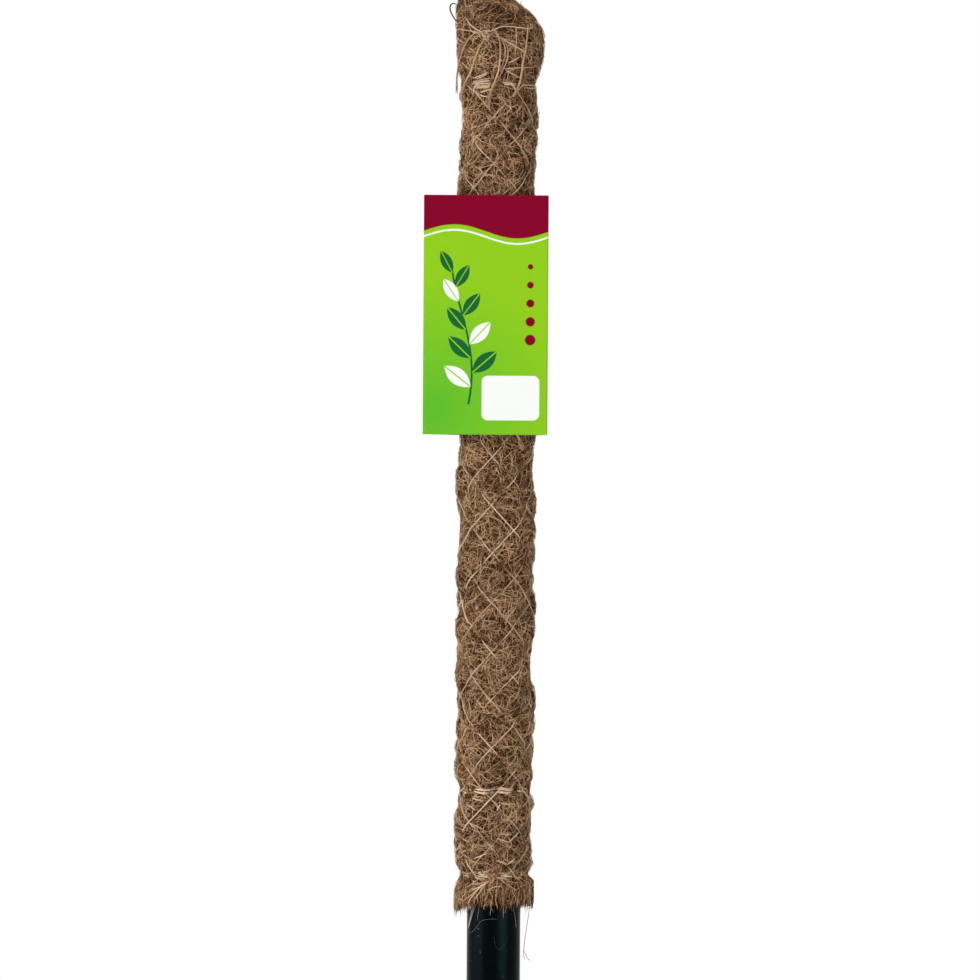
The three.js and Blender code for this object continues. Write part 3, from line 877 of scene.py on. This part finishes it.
def tie_band(name, turns, strands, paleness):
    """Turns of twine that show in patches and dive under the coir between them."""
    points = turns * BAND_STEPS + 1
    angle = FIRST_CROSSING + np.linspace(0, 2 * math.pi * turns, points)
    middle = middle_height(name)
    wound = middle + TURN_GAP * np.linspace(-turns / 2, turns / 2, points)
    apart = PATCH_SHIFT * slow_waves(angle, PATCH_WAVES)
    lines = []
    for _ in range(strands):
        shift = FIRST_PATCH + apart + STRAND_SHIFT * slow_waves(angle, STRAND_WAVES)
        bare = ease(*BARE_RANGE, 0.5 + 0.5 * np.cos(PATCHES * (angle - shift)))
        bare = bare * (1 - SIDE_FADE + SIDE_FADE * np.cos(2 * angle))
        fan = rng.uniform(*FAN) * np.sin(PATCHES * (shift - angle))
        stray = STRAY * slow_waves(angle, STRAY_WAVES) * ease(*STRAY_RANGE, bare)
        z = wound + stray + fan
        off = TIE_RISE * bare - TIE_SINK + TIE_WOBBLE * slow_waves(angle, WOBBLE_WAVES)
        lines.append(on_pole(angle, coir_radius(angle, 0 * z + middle) + off, z))
    widths = pointed(strands, points, TIE_WIDTH, tip=0.9)
    band = lay_fibres(name + "_band", lines, widths, rng.uniform(*paleness, strands), twine)
    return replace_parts(band, name)


tie_band("foot_tie", turns=3, strands=5, paleness=(0.8, 1))
tie_band("middle_tie", turns=2, strands=6, paleness=(0.85, 1))
tie_band("head_tie", turns=3, strands=2, paleness=(0, 0.4))

angle = np.linspace(0, 2 * math.pi, CROWN_POINTS) + math.radians(KNOT_ANGLE)
radius = node_box("crown_tie")[1][1] - TWINE_DIAMETER / 2
slant = CROWN_SLANT * radius * np.sin(angle)
line = on_pole(angle, radius + 0 * angle, CROWN_TIE - slant)
lay_twine("crown_tie_band", "crown_tie", line, **CROWN_BUNDLE)


def knot_bundle(name, lobe, depth, sink, paleness):
    """An open overhand knot on the pole's side, sunk into the coir and turned to face outwards."""
    low, high = node_box(name)
    centre = (low + high) / 2
    angle = math.atan2(centre[0], -centre[1])
    out = np.array([math.sin(angle), -math.cos(angle), 0])
    beside = np.array([math.cos(angle), math.sin(angle), 0])
    turned = np.linspace(0, 2 * (math.pi - KNOT_OPENING), KNOT_POINTS)[:, None]
    t = math.pi / 3 + KNOT_OPENING + turned
    across = lobe / 3 * (np.sin(t) + 2 * np.sin(2 * t)) * beside
    up = lobe / 3 * (np.cos(t) - 2 * np.cos(2 * t)) * np.array([0, 0, 1])
    drop = np.array([0, 0, lobe / 4])
    line = centre + drop + across + up - (depth * np.sin(3 * t) + sink) * out
    return lay_twine(name + "_bundle", name, line, tones=paleness, **KNOT_BUNDLE)


knot_bundle("crown_knot", lobe=2.4 * MM, depth=0.8 * MM, sink=0.5 * MM, paleness=(0.2, 0.8))
knot_bundle("foot_knot", lobe=2 * MM, depth=0.7 * MM, sink=1.1 * MM, paleness=(0, 0.4))
print("ties and knots laid")

# %% [markdown]
# ## The tube
# The tube is plain extruded plastic with a square-cut end. It is spun from its wall's outline, with the
# edges broken, and smooth-shaded, so that its long reflections run straight.

# %% The tube
TUBE_WALL = 2 * MM
EDGE_BREAK = 0.4 * MM
SHARP_ANGLE = 1
TUBE_STEPS = 128
TUBE_SHEEN = (0.4, 0.9, 1, 1)
DUST_SCALE = 500
DUST_GAIN = 9
DUST_LEVEL = -5.9
BLACK, DUST = shade(0, 2, 4), shade(62, 72, 76)


def round_edges(shape, edges, size, segments):
    bmesh.ops.bevel(
        shape, geom=edges, offset=size, offset_type="OFFSET", affect="EDGES", segments=segments, profile=0.5,
        material=-1,
    )


wall = bmesh.new()
bore = TUBE_RADIUS - TUBE_WALL
corners = [(bore, 0), (TUBE_RADIUS, 0), (TUBE_RADIUS, TUBE_TOP), (bore, TUBE_TOP)]
spin_round(wall, corners, TUBE_STEPS, closed=True)
bmesh.ops.remove_doubles(wall, verts=wall.verts, dist=WELD)
bmesh.ops.recalc_face_normals(wall, faces=wall.faces)
rims = [edge for edge in wall.edges if edge.calc_face_angle(0) > SHARP_ANGLE]
round_edges(wall, rims, EDGE_BREAK, segments=3)
mesh = mesh_from(wall, "plastic_tube")
mesh.shade_smooth()

plastic, tree, finish = new_material("black_plastic", roughness=0.25, specular=0.04)
finish.inputs["Specular Tint"].default_value = TUBE_SHEEN
dust = object_noise(tree, DUST_SCALE, detail=6)
specks = calculate(tree, "MULTIPLY_ADD", dust, DUST_GAIN, DUST_LEVEL, clamp=True)
wire(tree, (mix_colours(tree, specks, BLACK, DUST), finish.inputs["Base Color"]))
mesh.materials.append(plastic)
tube = put_in_scene("plastic_tube", mesh)
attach(tube, "pole")
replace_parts(tube, "core_tube")
print("tube of", len(mesh.polygons), "faces")

# %% [markdown]
# ## Loose strands and stray hairs
# Some strands of twine were laid by hand: they run out from the knots, over the crown, beside the ties
# and across the hem. Those that hang catch less light, painted here as a darker tone: painted shade.
# Single fibres stand off besides: a dark loop at the crown, hairs that fell on the tube, one that hangs
# free beside it, and a thin fuzz all over. They are placed one by one, because each was seen in its own
# place.

# %% Loose strands and stray hairs
# Each strand's points: degrees and height in millimetres
STRANDS_LAID = [
    [(-16, 577), (-29, 579), (-43, 582), (-55, 586)],
    [(-15, 577.5), (3, 580.5), (18, 580.5), (35, 580), (47, 580.5)],
    [(-4, 576.5), (6, 574.5), (21, 571.5), (40, 568)],
    [(-56, 554), (-46, 552), (-36, 550), (-25, 548.5), (-15, 548)],
    [(7, 561), (23, 561.5), (40, 562), (59, 562.5)],
    [(9, 560.5), (21, 558.5), (32, 557)],
    [(-42, 571.5), (-29, 568), (-16, 565)],
    [(22, 581), (22.5, 573.5), (21, 566.5)],
    [(-5, 184.5), (-17, 181.5), (-31, 177.5), (-46, 174.5)],
    [(-10, 183.5), (-17, 180), (-27, 175)],
    [(8, 185), (20, 182), (34, 179)],
    [(-27, 184), (-35, 182), (-42, 180.6)],
    [(-69, 183.5), (-72, 178.5), (-62, 175.2), (-45, 174.3)],
    [(-45, 181.8), (-43, 178.5), (-48, 176)],
    [(-8, 179.4), (0, 181), (11, 181.4)],
    [(-7, 184), (-20, 180.5), (-34, 175.5), (-39, 173)],
    [(-38, 557), (-27, 558.2), (-17, 559.8)],
    [(-34, 556.8), (-26, 557.5), (-18, 558.9)],
    [(-35, 222), (-26, 221.4), (-17, 220.9)],
    [(10, 219.9), (18, 219.4), (25, 219.2)],
    [(18, 212.2), (23, 212), (28, 211.7)],
    [(9, 206), (16, 205.5), (23, 205)],
    [(-41, 210.5), (-29, 209.2), (-17, 208)],
    [(-42, 219.2), (-35, 218), (-29, 216.5)],
    [(50, 583.5), (66, 581.5), (80, 579.3), (90, 577)],
    [(1.6, 575.7), (7, 571.9), (8.3, 568.2), (5.9, 563.5), (1.9, 559.3)],
    [(4.2, 575.2), (11, 571), (11.3, 566.3), (7.5, 561.7), (2, 557.9)],
    [(-71, 576.6), (-60, 575), (-49, 573.3)],
    [(-56, 564.5), (-49, 562.6), (-42.5, 560.7)],
    [(13, 563.5), (20, 565), (28, 566.8)],
    [(4.4, 193.4), (12, 192.4), (20.4, 191.3)],
    [(20, 191.5), (25, 192.8), (29.5, 194.1)],
    [(4.4, 203.6), (12, 202.7), (20.4, 201.7)],
    [(20, 201.7), (30, 204), (40.6, 206.4)],
    [(-31, 194), (-20, 195.4), (-10, 196.6)],
    [(-57, 195.9), (-49, 196.9), (-41, 197.9)],
    [(-50, 203.2), (-44, 202.4), (-38, 201.6)],
    [(4.4, 216.3), (7, 218), (10, 219.3)],
    [(-50, 229.5), (-36, 228.2), (-22, 226.9)],
    [(8, 227.2), (17, 226.8), (26, 226.3)],
    [(-8, 183.6), (-20, 181.2), (-33, 179.2)],
    [(-9, 183.8), (-22, 182.4), (-37, 182)],
    [(-45, 554.3), (-28, 554.2), (-11, 554.4)],
    [(-38, 553.4), (-25, 553.3), (-11, 553.5)],
    [(-38, 552.3), (-26, 552.4), (-13, 552.6)],
    [(-29, 550.2), (-20, 550.9), (-11, 551.7)],
    [(-44, 555.2), (-28, 556), (-13, 556.9)],
    [(-42, 554.8), (-28, 555.2), (-12, 555.7)],
    [(-36, 552.9), (-24, 552.9), (-12, 553)],
    [(6, 554.7), (17, 554.5), (28, 554.1)],
    [(8, 553.8), (17, 553.8), (27, 553.5)],
    [(40, 553.8), (58, 554), (80, 554.1)],
    [(41, 552.6), (58, 552.7), (80, 552.8)],
]
LAID_POINTS = 16
LAID_STRANDS = 3
LAID_SPREAD = 0.2 * MM
LAID_TWIST = 0.7
LAID_STAND = 0.8 * MM
LAID_TONES = (0.3, 0.9)
HEM_DIMMING = 0.03
UPPER_GLOW = 0.2
HANGING = 13 * MM
HANGING_PAINTED_SHADE = 0.45
# Each hair's width in millimetres, tone and points: degrees, distance from the axis and height
PALE_HAIRS = [
    (0.3, 0.3, [(-47, 12.9, 173), (-58, 12.9, 166), (-67, 12.9, 160.5)]),
    (0.3, 0.2, [(-44, 12.9, 173), (-56, 12.9, 166), (-65, 12.9, 160.5)]),
    (0.28, 0.1, [(-41, 12.9, 173), (-53, 12.9, 166.5), (-64, 12.9, 161)]),
    (0.24, 0.1, [(-38, 12.9, 173), (-51, 12.9, 167), (-62, 12.9, 161.5)]),
    (0.14, 0.4, [(-31, 12.9, 172), (-34, 12.9, 168), (-36, 12.9, 165)]),
    (0.07, 0.5, [
        (-69, 12.7, 159), (-52, 12.7, 159.4), (-40, 12.7, 161.5), (-27, 12.7, 164.6), (-9, 12.7, 165.7),
        (10, 12.7, 165.7),
    ]),
    (0.04, 0.1, [(1, 12.7, 158), (4, 12.7, 153.5), (12, 12.7, 151.6), (22, 12.7, 153.3)]),
    (0.06, 0.2, [(-38, 12.7, 157.2), (-34, 12.7, 157.9), (-31, 12.7, 157.3)]),
    (0.06, 0.2, [(-30, 12.7, 151.5), (-28, 12.7, 149)]),
    (0.16, 0.3, [(20, 12.9, 172), (20, 12.8, 169), (21, 12.8, 166)]),
    (0.16, 0.2, [(44, 12.9, 172), (52, 12.8, 165.5), (56, 12.8, 161)]),
]
DARK_HAIRS = [
    (0.75, 0, [
        (-80, 20, 592), (-88, 21.5, 592.6), (-88, 22.9, 591.2), (-88, 22.5, 588.5), (-86, 21.2, 586),
        (-82, 19.8, 583.5),
    ]),
    (0.2, 0.2, [(88, 9.3, 590.5), (88, 10, 593), (88, 10.9, 596)]),
    (0.3, 0.25, [
        (74, 17.9, 175), (82, 16.1, 164.5), (84, 15.1, 158.5), (85, 14.2, 150), (85, 14.6, 146),
    ]),
    (0.26, 0.25, [(85, 14.2, 150.5), (85, 15.9, 147), (85, 17.5, 145.5)]),
]
HAIR_POINTS = 20
FUZZ = 900
FUZZ_LENGTH = (5, 13)
FUZZ_CURL = 1 / (4 * MM)
FUZZ_LIFT = (0.2, 0.55)
FUZZ_WIDTH = (0.1, 0.2)
FUZZ_TONES = (0.3, 1)
FUZZ_START = HEM + 4 * MM

bundles = []
for places in STRANDS_LAID:
    angle, z = smooth_line(np.array(places), LAID_POINTS).T * [[math.pi / 180], [MM]]
    line = on_pole(angle, coir_radius(angle, z) + LAID_STAND, z)
    bundles.append(strands_along(line, LAID_STRANDS, LAID_SPREAD, LAID_TWIST))
bundles = np.concatenate(bundles)
widths = pointed(len(bundles), LAID_POINTS, STRAND_WIDTH, tip=0.6)
tones = rng.uniform(*LAID_TONES, len(bundles))
tones = np.where(bundles[:, 0, 2] < FOOT_TIE, tones - HEM_DIMMING, tones + UPPER_GLOW)
# Painted shade: strands that hang get a darker tone.
tones = np.where(np.ptp(bundles[:, :, 2], axis=1) > HANGING, tones - HANGING_PAINTED_SHADE, tones)
lay_fibres("laid_strands", bundles, widths, tones, twine)

for name, hairs, material, slot in (
    ("pale_hairs", PALE_HAIRS, bleached, "twine"), ("dark_hairs", DARK_HAIRS, coir, "coir")
):
    lines = []
    for _, _, places in hairs:
        angle, radius, z = np.array(places).T * [[math.pi / 180], [MM], [MM]]
        lines.append(smooth_line(on_pole(angle, radius, z), HAIR_POINTS))
    widths = pointed(len(lines), HAIR_POINTS, np.array([hair[0] for hair in hairs]) * MM, tip=0.6)
    lay_fibres(name, lines, widths, [hair[1] for hair in hairs], material)

sideways, upwards = wander(FUZZ, FIBRE_POINTS, rng.uniform(*FUZZ_LENGTH, FUZZ) * MM, FUZZ_CURL)
angle = rng.uniform(0, 2 * math.pi, (FUZZ, 1)) + sideways / GROOVE_RADIUS
climb = rng.uniform(FUZZ_START, MAT_TOP, (FUZZ, 1)) + upwards
lift = rng.uniform(*FUZZ_LIFT, (FUZZ, 1)) * MM * (1 - along**2)
widths = pointed(FUZZ, FIBRE_POINTS, rng.uniform(*FUZZ_WIDTH, FUZZ) * MM)
lines = drape(angle, np.maximum(climb, HEM), lift)
lay_fibres("fuzz", lines, widths, rng.uniform(*FUZZ_TONES, FUZZ), coir)
print("laid", len(bundles), "strands,", len(PALE_HAIRS + DARK_HAIRS), "hairs and", FUZZ, "fuzz fibres")

# %% [markdown]
# ## The label sleeve
# A strip of card is folded round the pole: a flat front that is wider than the pole, two slanting sides
# and a back that follows the mat, glued with a lap. It is drawn as its outline seen from above, pulled
# up, folded softly and given the card's thickness. The card slides on the pole.

# %% The label sleeve
CARD = 0.5 * MM
FOLD_RADIUS = 0.9 * MM
LAP = 12 * MM
LAP_ANGLE = math.radians(70)
LAP_PRESS = 0.03 * MM
BACK_STEPS = 32
LAP_STEPS = 8
PAST_FRONT = 1.02
SIDE_MAP = 20 * MM

label_low, label_high = node_box("label_sleeve")
left, front, bottom = label_low
right, _, label_top = label_high
LABEL_WIDTH, LABEL_HEIGHT = right - left, label_top - bottom


def touch_angle(x):
    """Where a side panel from the fold at x meets the round back."""
    return (2 * math.atan2(front, x) + math.pi / 2) % (2 * math.pi)


def arc(shape, radius, start, turn, steps):
    """A round row of points at the label's lower edge; gives its first and last point."""
    first = shape.verts.new((radius * math.cos(start), radius * math.sin(start), bottom))
    swept = bmesh.ops.spin(shape, geom=[first], cent=(0, 0, 0), axis=(0, 0, 1), angle=turn, steps=steps)
    return first, next(item for item in swept["geom_last"] if isinstance(item, bmesh.types.BMVert))


def at_fold(vert):
    sideways = min(abs(vert.co.x - left), abs(vert.co.x - right))
    return sideways < WELD and abs(vert.co.y - front) < WELD


sleeve = bmesh.new()
fold_left = sleeve.verts.new((left, front, bottom))
fold_right = sleeve.verts.new((right, front, bottom))
first, last = arc(sleeve, -front, touch_angle(right), touch_angle(left) - touch_angle(right), BACK_STEPS)
arc(sleeve, -front + CARD - LAP_PRESS, LAP_ANGLE, LAP / -front, LAP_STEPS)
for pair in ((fold_left, fold_right), (fold_right, first), (last, fold_left)):
    sleeve.edges.new(pair)
pulled = bmesh.ops.extrude_edge_only(sleeve, edges=sleeve.edges[:])
upper_edge = [item for item in pulled["geom"] if isinstance(item, bmesh.types.BMVert)]
bmesh.ops.translate(sleeve, verts=upper_edge, vec=(0, 0, LABEL_HEIGHT))
for face in sleeve.faces:
    face.normal_update()
    centre = face.calc_center_median()
    if face.normal.x * centre.x + face.normal.y * centre.y < 0:
        face.normal_flip()
print_map = sleeve.loops.layers.uv.new("print")
for face in sleeve.faces:
    on_front = face.calc_center_median().y < front + CARD
    for loop in face.loops:
        spot = loop.vert.co
        if on_front:
            across = spot.x - left
        else:
            across = LABEL_WIDTH * PAST_FRONT + SIDE_MAP * abs(math.atan2(spot.x, -spot.y))
        loop[print_map].uv = (across / LABEL_WIDTH, (spot.z - bottom) / LABEL_HEIGHT)
folds = [edge for edge in sleeve.edges if all(at_fold(vert) for vert in edge.verts)]
round_edges(sleeve, folds, FOLD_RADIUS, segments=4)
mesh = mesh_from(sleeve, "label_card")
label = put_in_scene("label_card", mesh)
thick = label.modifiers.new("card", "SOLIDIFY")
thick.thickness = CARD
thick.offset = -1
thick.material_offset = 1
thick.material_offset_rim = 1
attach(label, "label")
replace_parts(label, "label_sleeve")
print("label of", len(mesh.polygons), "faces")

# %% [markdown]
# ## The label's print
# The print is a plain design of its own: a crimson band with a waved edge over a lime field, a sprig of
# leaves, a row of dots and a blank white panel. It is drawn in millimetres from the label's lower left
# corner. The leaves are one node group, used once for each leaf.

# %% The label's print
EDGE_SHARP = 4
LEAF_SHARP = 12
VEIN_SHARP = 40
VEIN_HALF = 0.09
LIME, GREEN, DEEP = shade(146, 206, 30), shade(88, 188, 46), shade(24, 104, 52)
CRIMSON, WHITE = shade(134, 0, 40), shade(250, 252, 247)
WIDE, HIGH = LABEL_WIDTH / MM, LABEL_HEIGHT / MM
BAND_DROP, BAND_WAVE = 17, 3.2
LINE_DROP, LINE_HALF = 2.4, 0.55
STEM_FOOT, STEM_TOP, STEM_HALF = 14, 76, 0.6
STEM_PLACE, STEM_SWAY, STEM_BEND = 18, 5, 0.055
LEAVES, DOTS, DOT_PLACE = 9, 5, 50
# The first leaf's height, turn, length and half width, and what each next leaf adds
FIRST_LEAF, LEAF_STEP = np.array([22, 52, 16, 3.9]), np.array([6.6, -3, -0.5, -0.15])
# The first dot's height and radius, and what each next dot adds
FIRST_DOT, DOT_STEP = np.array([44, 2.6]), np.array([8.5, -0.3])


def beyond(tree, value, limit, sharp=EDGE_SHARP):
    """1 where the value is past the limit and 0 before it, with a soft edge between."""
    return calculate(tree, "MULTIPLY", calculate(tree, "SUBTRACT", value, limit), sharp, clamp=True)


leaf_mask, given, result = new_group(
    "leaf_mask",
    [("Place", VECTOR), ("Base", VECTOR), ("Turn", VECTOR), ("Size", VECTOR)],
    [("Leaf", FLOAT), ("Vein", FLOAT)],
)
onto_leaf = add_node(leaf_mask, "Mapping", vector_type="TEXTURE")
split = add_node(leaf_mask, "SeparateXYZ")
wire(
    leaf_mask,
    (given.outputs["Place"], onto_leaf.inputs["Vector"]),
    (given.outputs["Base"], onto_leaf.inputs["Location"]),
    (given.outputs["Turn"], onto_leaf.inputs["Rotation"]),
    (given.outputs["Size"], onto_leaf.inputs["Scale"]),
    (onto_leaf.outputs[0], split.inputs[0]),
)
to_tip = calculate(leaf_mask, "SUBTRACT", 1, split.outputs["X"])
bow = calculate(leaf_mask, "MULTIPLY", calculate(leaf_mask, "MULTIPLY", split.outputs["X"], to_tip), 4)
from_vein = calculate(leaf_mask, "ABSOLUTE", split.outputs["Y"])
inside = beyond(leaf_mask, bow, from_vein, LEAF_SHARP)
vein = beyond(leaf_mask, VEIN_HALF, from_vein, VEIN_SHARP)
wire(
    leaf_mask,
    (inside, result.inputs["Leaf"]),
    (calculate(leaf_mask, "MULTIPLY", inside, vein), result.inputs["Vein"]),
)

ink, tree, finish = new_material("label_print", roughness=0.5, specular=0.03)
reader = add_node(tree, "UVMap", uv_map="print")
ruler = add_node(tree, "VectorMath", operation="MULTIPLY")
ruler.inputs[1].default_value = (WIDE, HIGH, 1)
split = add_node(tree, "SeparateXYZ")
wire(tree, (reader.outputs[0], ruler.inputs[0]), (ruler.outputs[0], split.inputs[0]))
place, across, up = ruler.outputs[0], split.outputs["X"], split.outputs["Y"]


def disc_mask(x, y, radius, sharp=EDGE_SHARP):
    gap = add_node(tree, "VectorMath", operation="DISTANCE")
    gap.inputs[1].default_value = (x, y, 0)
    wire(tree, (place, gap.inputs[0]))
    return beyond(tree, radius, gap.outputs["Value"], sharp)


def panel_mask(x, y, half_width, half_height, corner):
    """A box with rounded corners, from the distance to its straight core."""
    sides = []
    for value, centre, half in ((across, x, half_width), (up, y, half_height)):
        off_centre = calculate(tree, "ABSOLUTE", calculate(tree, "SUBTRACT", value, centre))
        sides.append(calculate(tree, "MAXIMUM", calculate(tree, "SUBTRACT", off_centre, half - corner), 0))
    squares = [calculate(tree, "MULTIPLY", side, side) for side in sides]
    reach = calculate(tree, "SQRT", calculate(tree, "ADD", *squares))
    return beyond(tree, corner, reach)


glow = disc_mask(x=6, y=12, radius=62, sharp=0.015)
field = mix_colours(tree, glow, LIME, GREEN)
on_front = calculate(tree, "MINIMUM", across, WIDE)
bend = calculate(tree, "SINE", calculate(tree, "MULTIPLY", on_front, 2 * math.pi / WIDE))
edge = calculate(tree, "MULTIPLY_ADD", bend, BAND_WAVE, HIGH - BAND_DROP)
band = beyond(tree, up, edge)
line_gap = calculate(tree, "ADD", calculate(tree, "SUBTRACT", up, edge), LINE_DROP)
line_mask = beyond(tree, LINE_HALF, calculate(tree, "ABSOLUTE", line_gap))
drawn = mix_colours(tree, band, mix_colours(tree, line_mask, field, WHITE), CRIMSON)

sway = calculate(tree, "SINE", calculate(tree, "MULTIPLY", up, STEM_BEND))
stem_line = calculate(tree, "MULTIPLY_ADD", sway, STEM_SWAY, STEM_PLACE)
stem_gap = calculate(tree, "ABSOLUTE", calculate(tree, "SUBTRACT", across, stem_line))
stem = beyond(tree, STEM_HALF, stem_gap)
for limit, rule in ((STEM_FOOT, "GREATER_THAN"), (STEM_TOP, "LESS_THAN")):
    stem = calculate(tree, "MULTIPLY", stem, calculate(tree, rule, up, limit))
drawn = mix_colours(tree, stem, drawn, DEEP)
for n in range(LEAVES):
    height, turn, length, half = FIRST_LEAF + LEAF_STEP * n
    base = STEM_PLACE + STEM_SWAY * math.sin(STEM_BEND * height)
    leaf = add_node(tree, "Group", node_tree=leaf_mask)
    leaf.inputs["Base"].default_value = (base, height, 0)
    leaf.inputs["Turn"].default_value = (0, 0, math.radians(90 + turn * (-1) ** n))
    leaf.inputs["Size"].default_value = (length, half, 1)
    wire(tree, (place, leaf.inputs["Place"]))
    drawn = mix_colours(tree, leaf.outputs["Leaf"], drawn, DEEP if n % 3 else WHITE)
    drawn = mix_colours(tree, leaf.outputs["Vein"], drawn, LIME)
for n in range(DOTS):
    height, radius = FIRST_DOT + DOT_STEP * n
    drawn = mix_colours(tree, disc_mask(DOT_PLACE, height, radius), drawn, CRIMSON)
panel = panel_mask(x=41, y=17, half_width=13.5, half_height=10.5, corner=3)
drawn = mix_colours(tree, panel, drawn, WHITE)
wire(tree, (drawn, finish.inputs["Base Color"]))

board, tree, finish = new_material("bare_card", roughness=0.8, specular=0.2)
finish.inputs["Base Color"].default_value = shade(222, 219, 208)
label.data.materials.append(ink)
label.data.materials.append(board)
print("print with", len(ink.node_tree.nodes), "nodes")

# %% [markdown]
# ## Stage and light
# A pale floor under the pole, which fades into white, and soft light from both sides of the camera. A
# lamp behind rims the fibres without a glint, and two that only make glints draw the long reflections
# on the tube. Rays that come straight from the camera, a reflection or a clear pane see white; light
# that is scattered gets a dimmer grey.

# %% Stage and light
FLOOR_RADIUS = 6
FLOOR_DROP = 0.2 * MM
FADE_FROM, FADE_TO = 0.3, 1.2
NEAR_WHITE = 0.6
AMBIENT = 0.28
AIM = np.array([0, 0, 0.35])

disc = bmesh.new()
bmesh.ops.create_circle(disc, cap_ends=True, radius=FLOOR_RADIUS, segments=96)
bmesh.ops.translate(disc, verts=disc.verts, vec=(0, 0, -FLOOR_DROP))
floor = put_in_scene("floor", mesh_from(disc, "floor"))


def seen_directly(tree):
    """1 for rays that see the white, 0 for scattered light."""
    ray = add_node(tree, "LightPath")
    seen = calculate(tree, "MAXIMUM", ray.outputs["Is Camera Ray"], ray.outputs["Is Transmission Ray"])
    return calculate(tree, "MAXIMUM", seen, ray.outputs["Is Glossy Ray"])


paper, tree, finish = new_material("floor", roughness=0.9, specular=0.1)
finish.inputs["Base Color"].default_value = (0.86, 0.86, 0.86, 1)
where = add_node(tree, "TexCoord")
far = add_node(tree, "VectorMath", operation="LENGTH")
fade = add_node(tree, "MapRange", interpolation_type="SMOOTHSTEP")
fade.inputs["From Min"].default_value = FADE_FROM
fade.inputs["From Max"].default_value = FADE_TO
fade.inputs["To Min"].default_value = NEAR_WHITE
white = add_node(tree, "Emission")
blend = add_node(tree, "MixShader")
from_below = add_node(tree, "MixShader")
wire(
    tree,
    (where.outputs["Object"], far.inputs[0]),
    (far.outputs["Value"], fade.inputs["Value"]),
    (calculate(tree, "MULTIPLY", fade.outputs[0], seen_directly(tree)), blend.inputs["Fac"]),
    (finish.outputs[0], blend.inputs[1]),
    (white.outputs[0], blend.inputs[2]),
    (blend.outputs[0], from_below.inputs[1]),
    (add_node(tree, "NewGeometry").outputs["Backfacing"], from_below.inputs["Fac"]),
    (add_node(tree, "BsdfTransparent").outputs[0], from_below.inputs[2]),
    (from_below.outputs[0], tree.nodes["Material Output"].inputs["Surface"]),
)
floor.data.materials.append(paper)

world = bpy.data.worlds.new("studio")
bpy.context.scene.world = world
world.use_nodes = True
tree = world.node_tree
ambient = tree.nodes["Background"]
ambient.inputs["Color"].default_value = (1, 1, 1, 1)
strength = calculate(tree, "MULTIPLY_ADD", seen_directly(tree), 1 - AMBIENT, AMBIENT)
wire(tree, (strength, ambient.inputs["Strength"]))


def soft_lamp(name, place, size, power):
    """A square lamp of a size in metres and a power in watts, turned to the pole."""
    lamp = bpy.data.lights.new(name, "AREA")
    lamp.size = size
    lamp.energy = power
    holder = put_in_scene(name, lamp)
    holder.location = place
    aim = AIM - place
    holder.rotation_euler = (math.atan2(math.hypot(aim[0], aim[1]), -aim[2]), 0, math.atan2(-aim[0], aim[1]))
    return holder


soft_lamp("key", (-1.1, -1.5, 1.2), size=0.7, power=17.4)
soft_lamp("left", (-1.4, -0.8, 0.17), size=0.4, power=6)
soft_lamp("right", (1.0, -1.25, 0.17), size=0.4, power=5.5)
soft_lamp("back", (0.3, 1.7, 1.3), size=0.7, power=12).visible_glossy = False
soft_lamp("sheen_left", (-0.78, -0.28, 0.1), size=0.7, power=4.5).visible_diffuse = False
soft_lamp("sheen_right", (0.53, -0.63, 0.1), size=0.6, power=6).visible_diffuse = False
bpy.context.scene.view_settings.view_transform = "Standard"
print("stage set")

# %% [markdown]
# ## Finish
# The fibre profile, which only shaped the fibres, is taken out of the scene.

# %% Finish
bpy.data.objects.remove(fibre_profile)
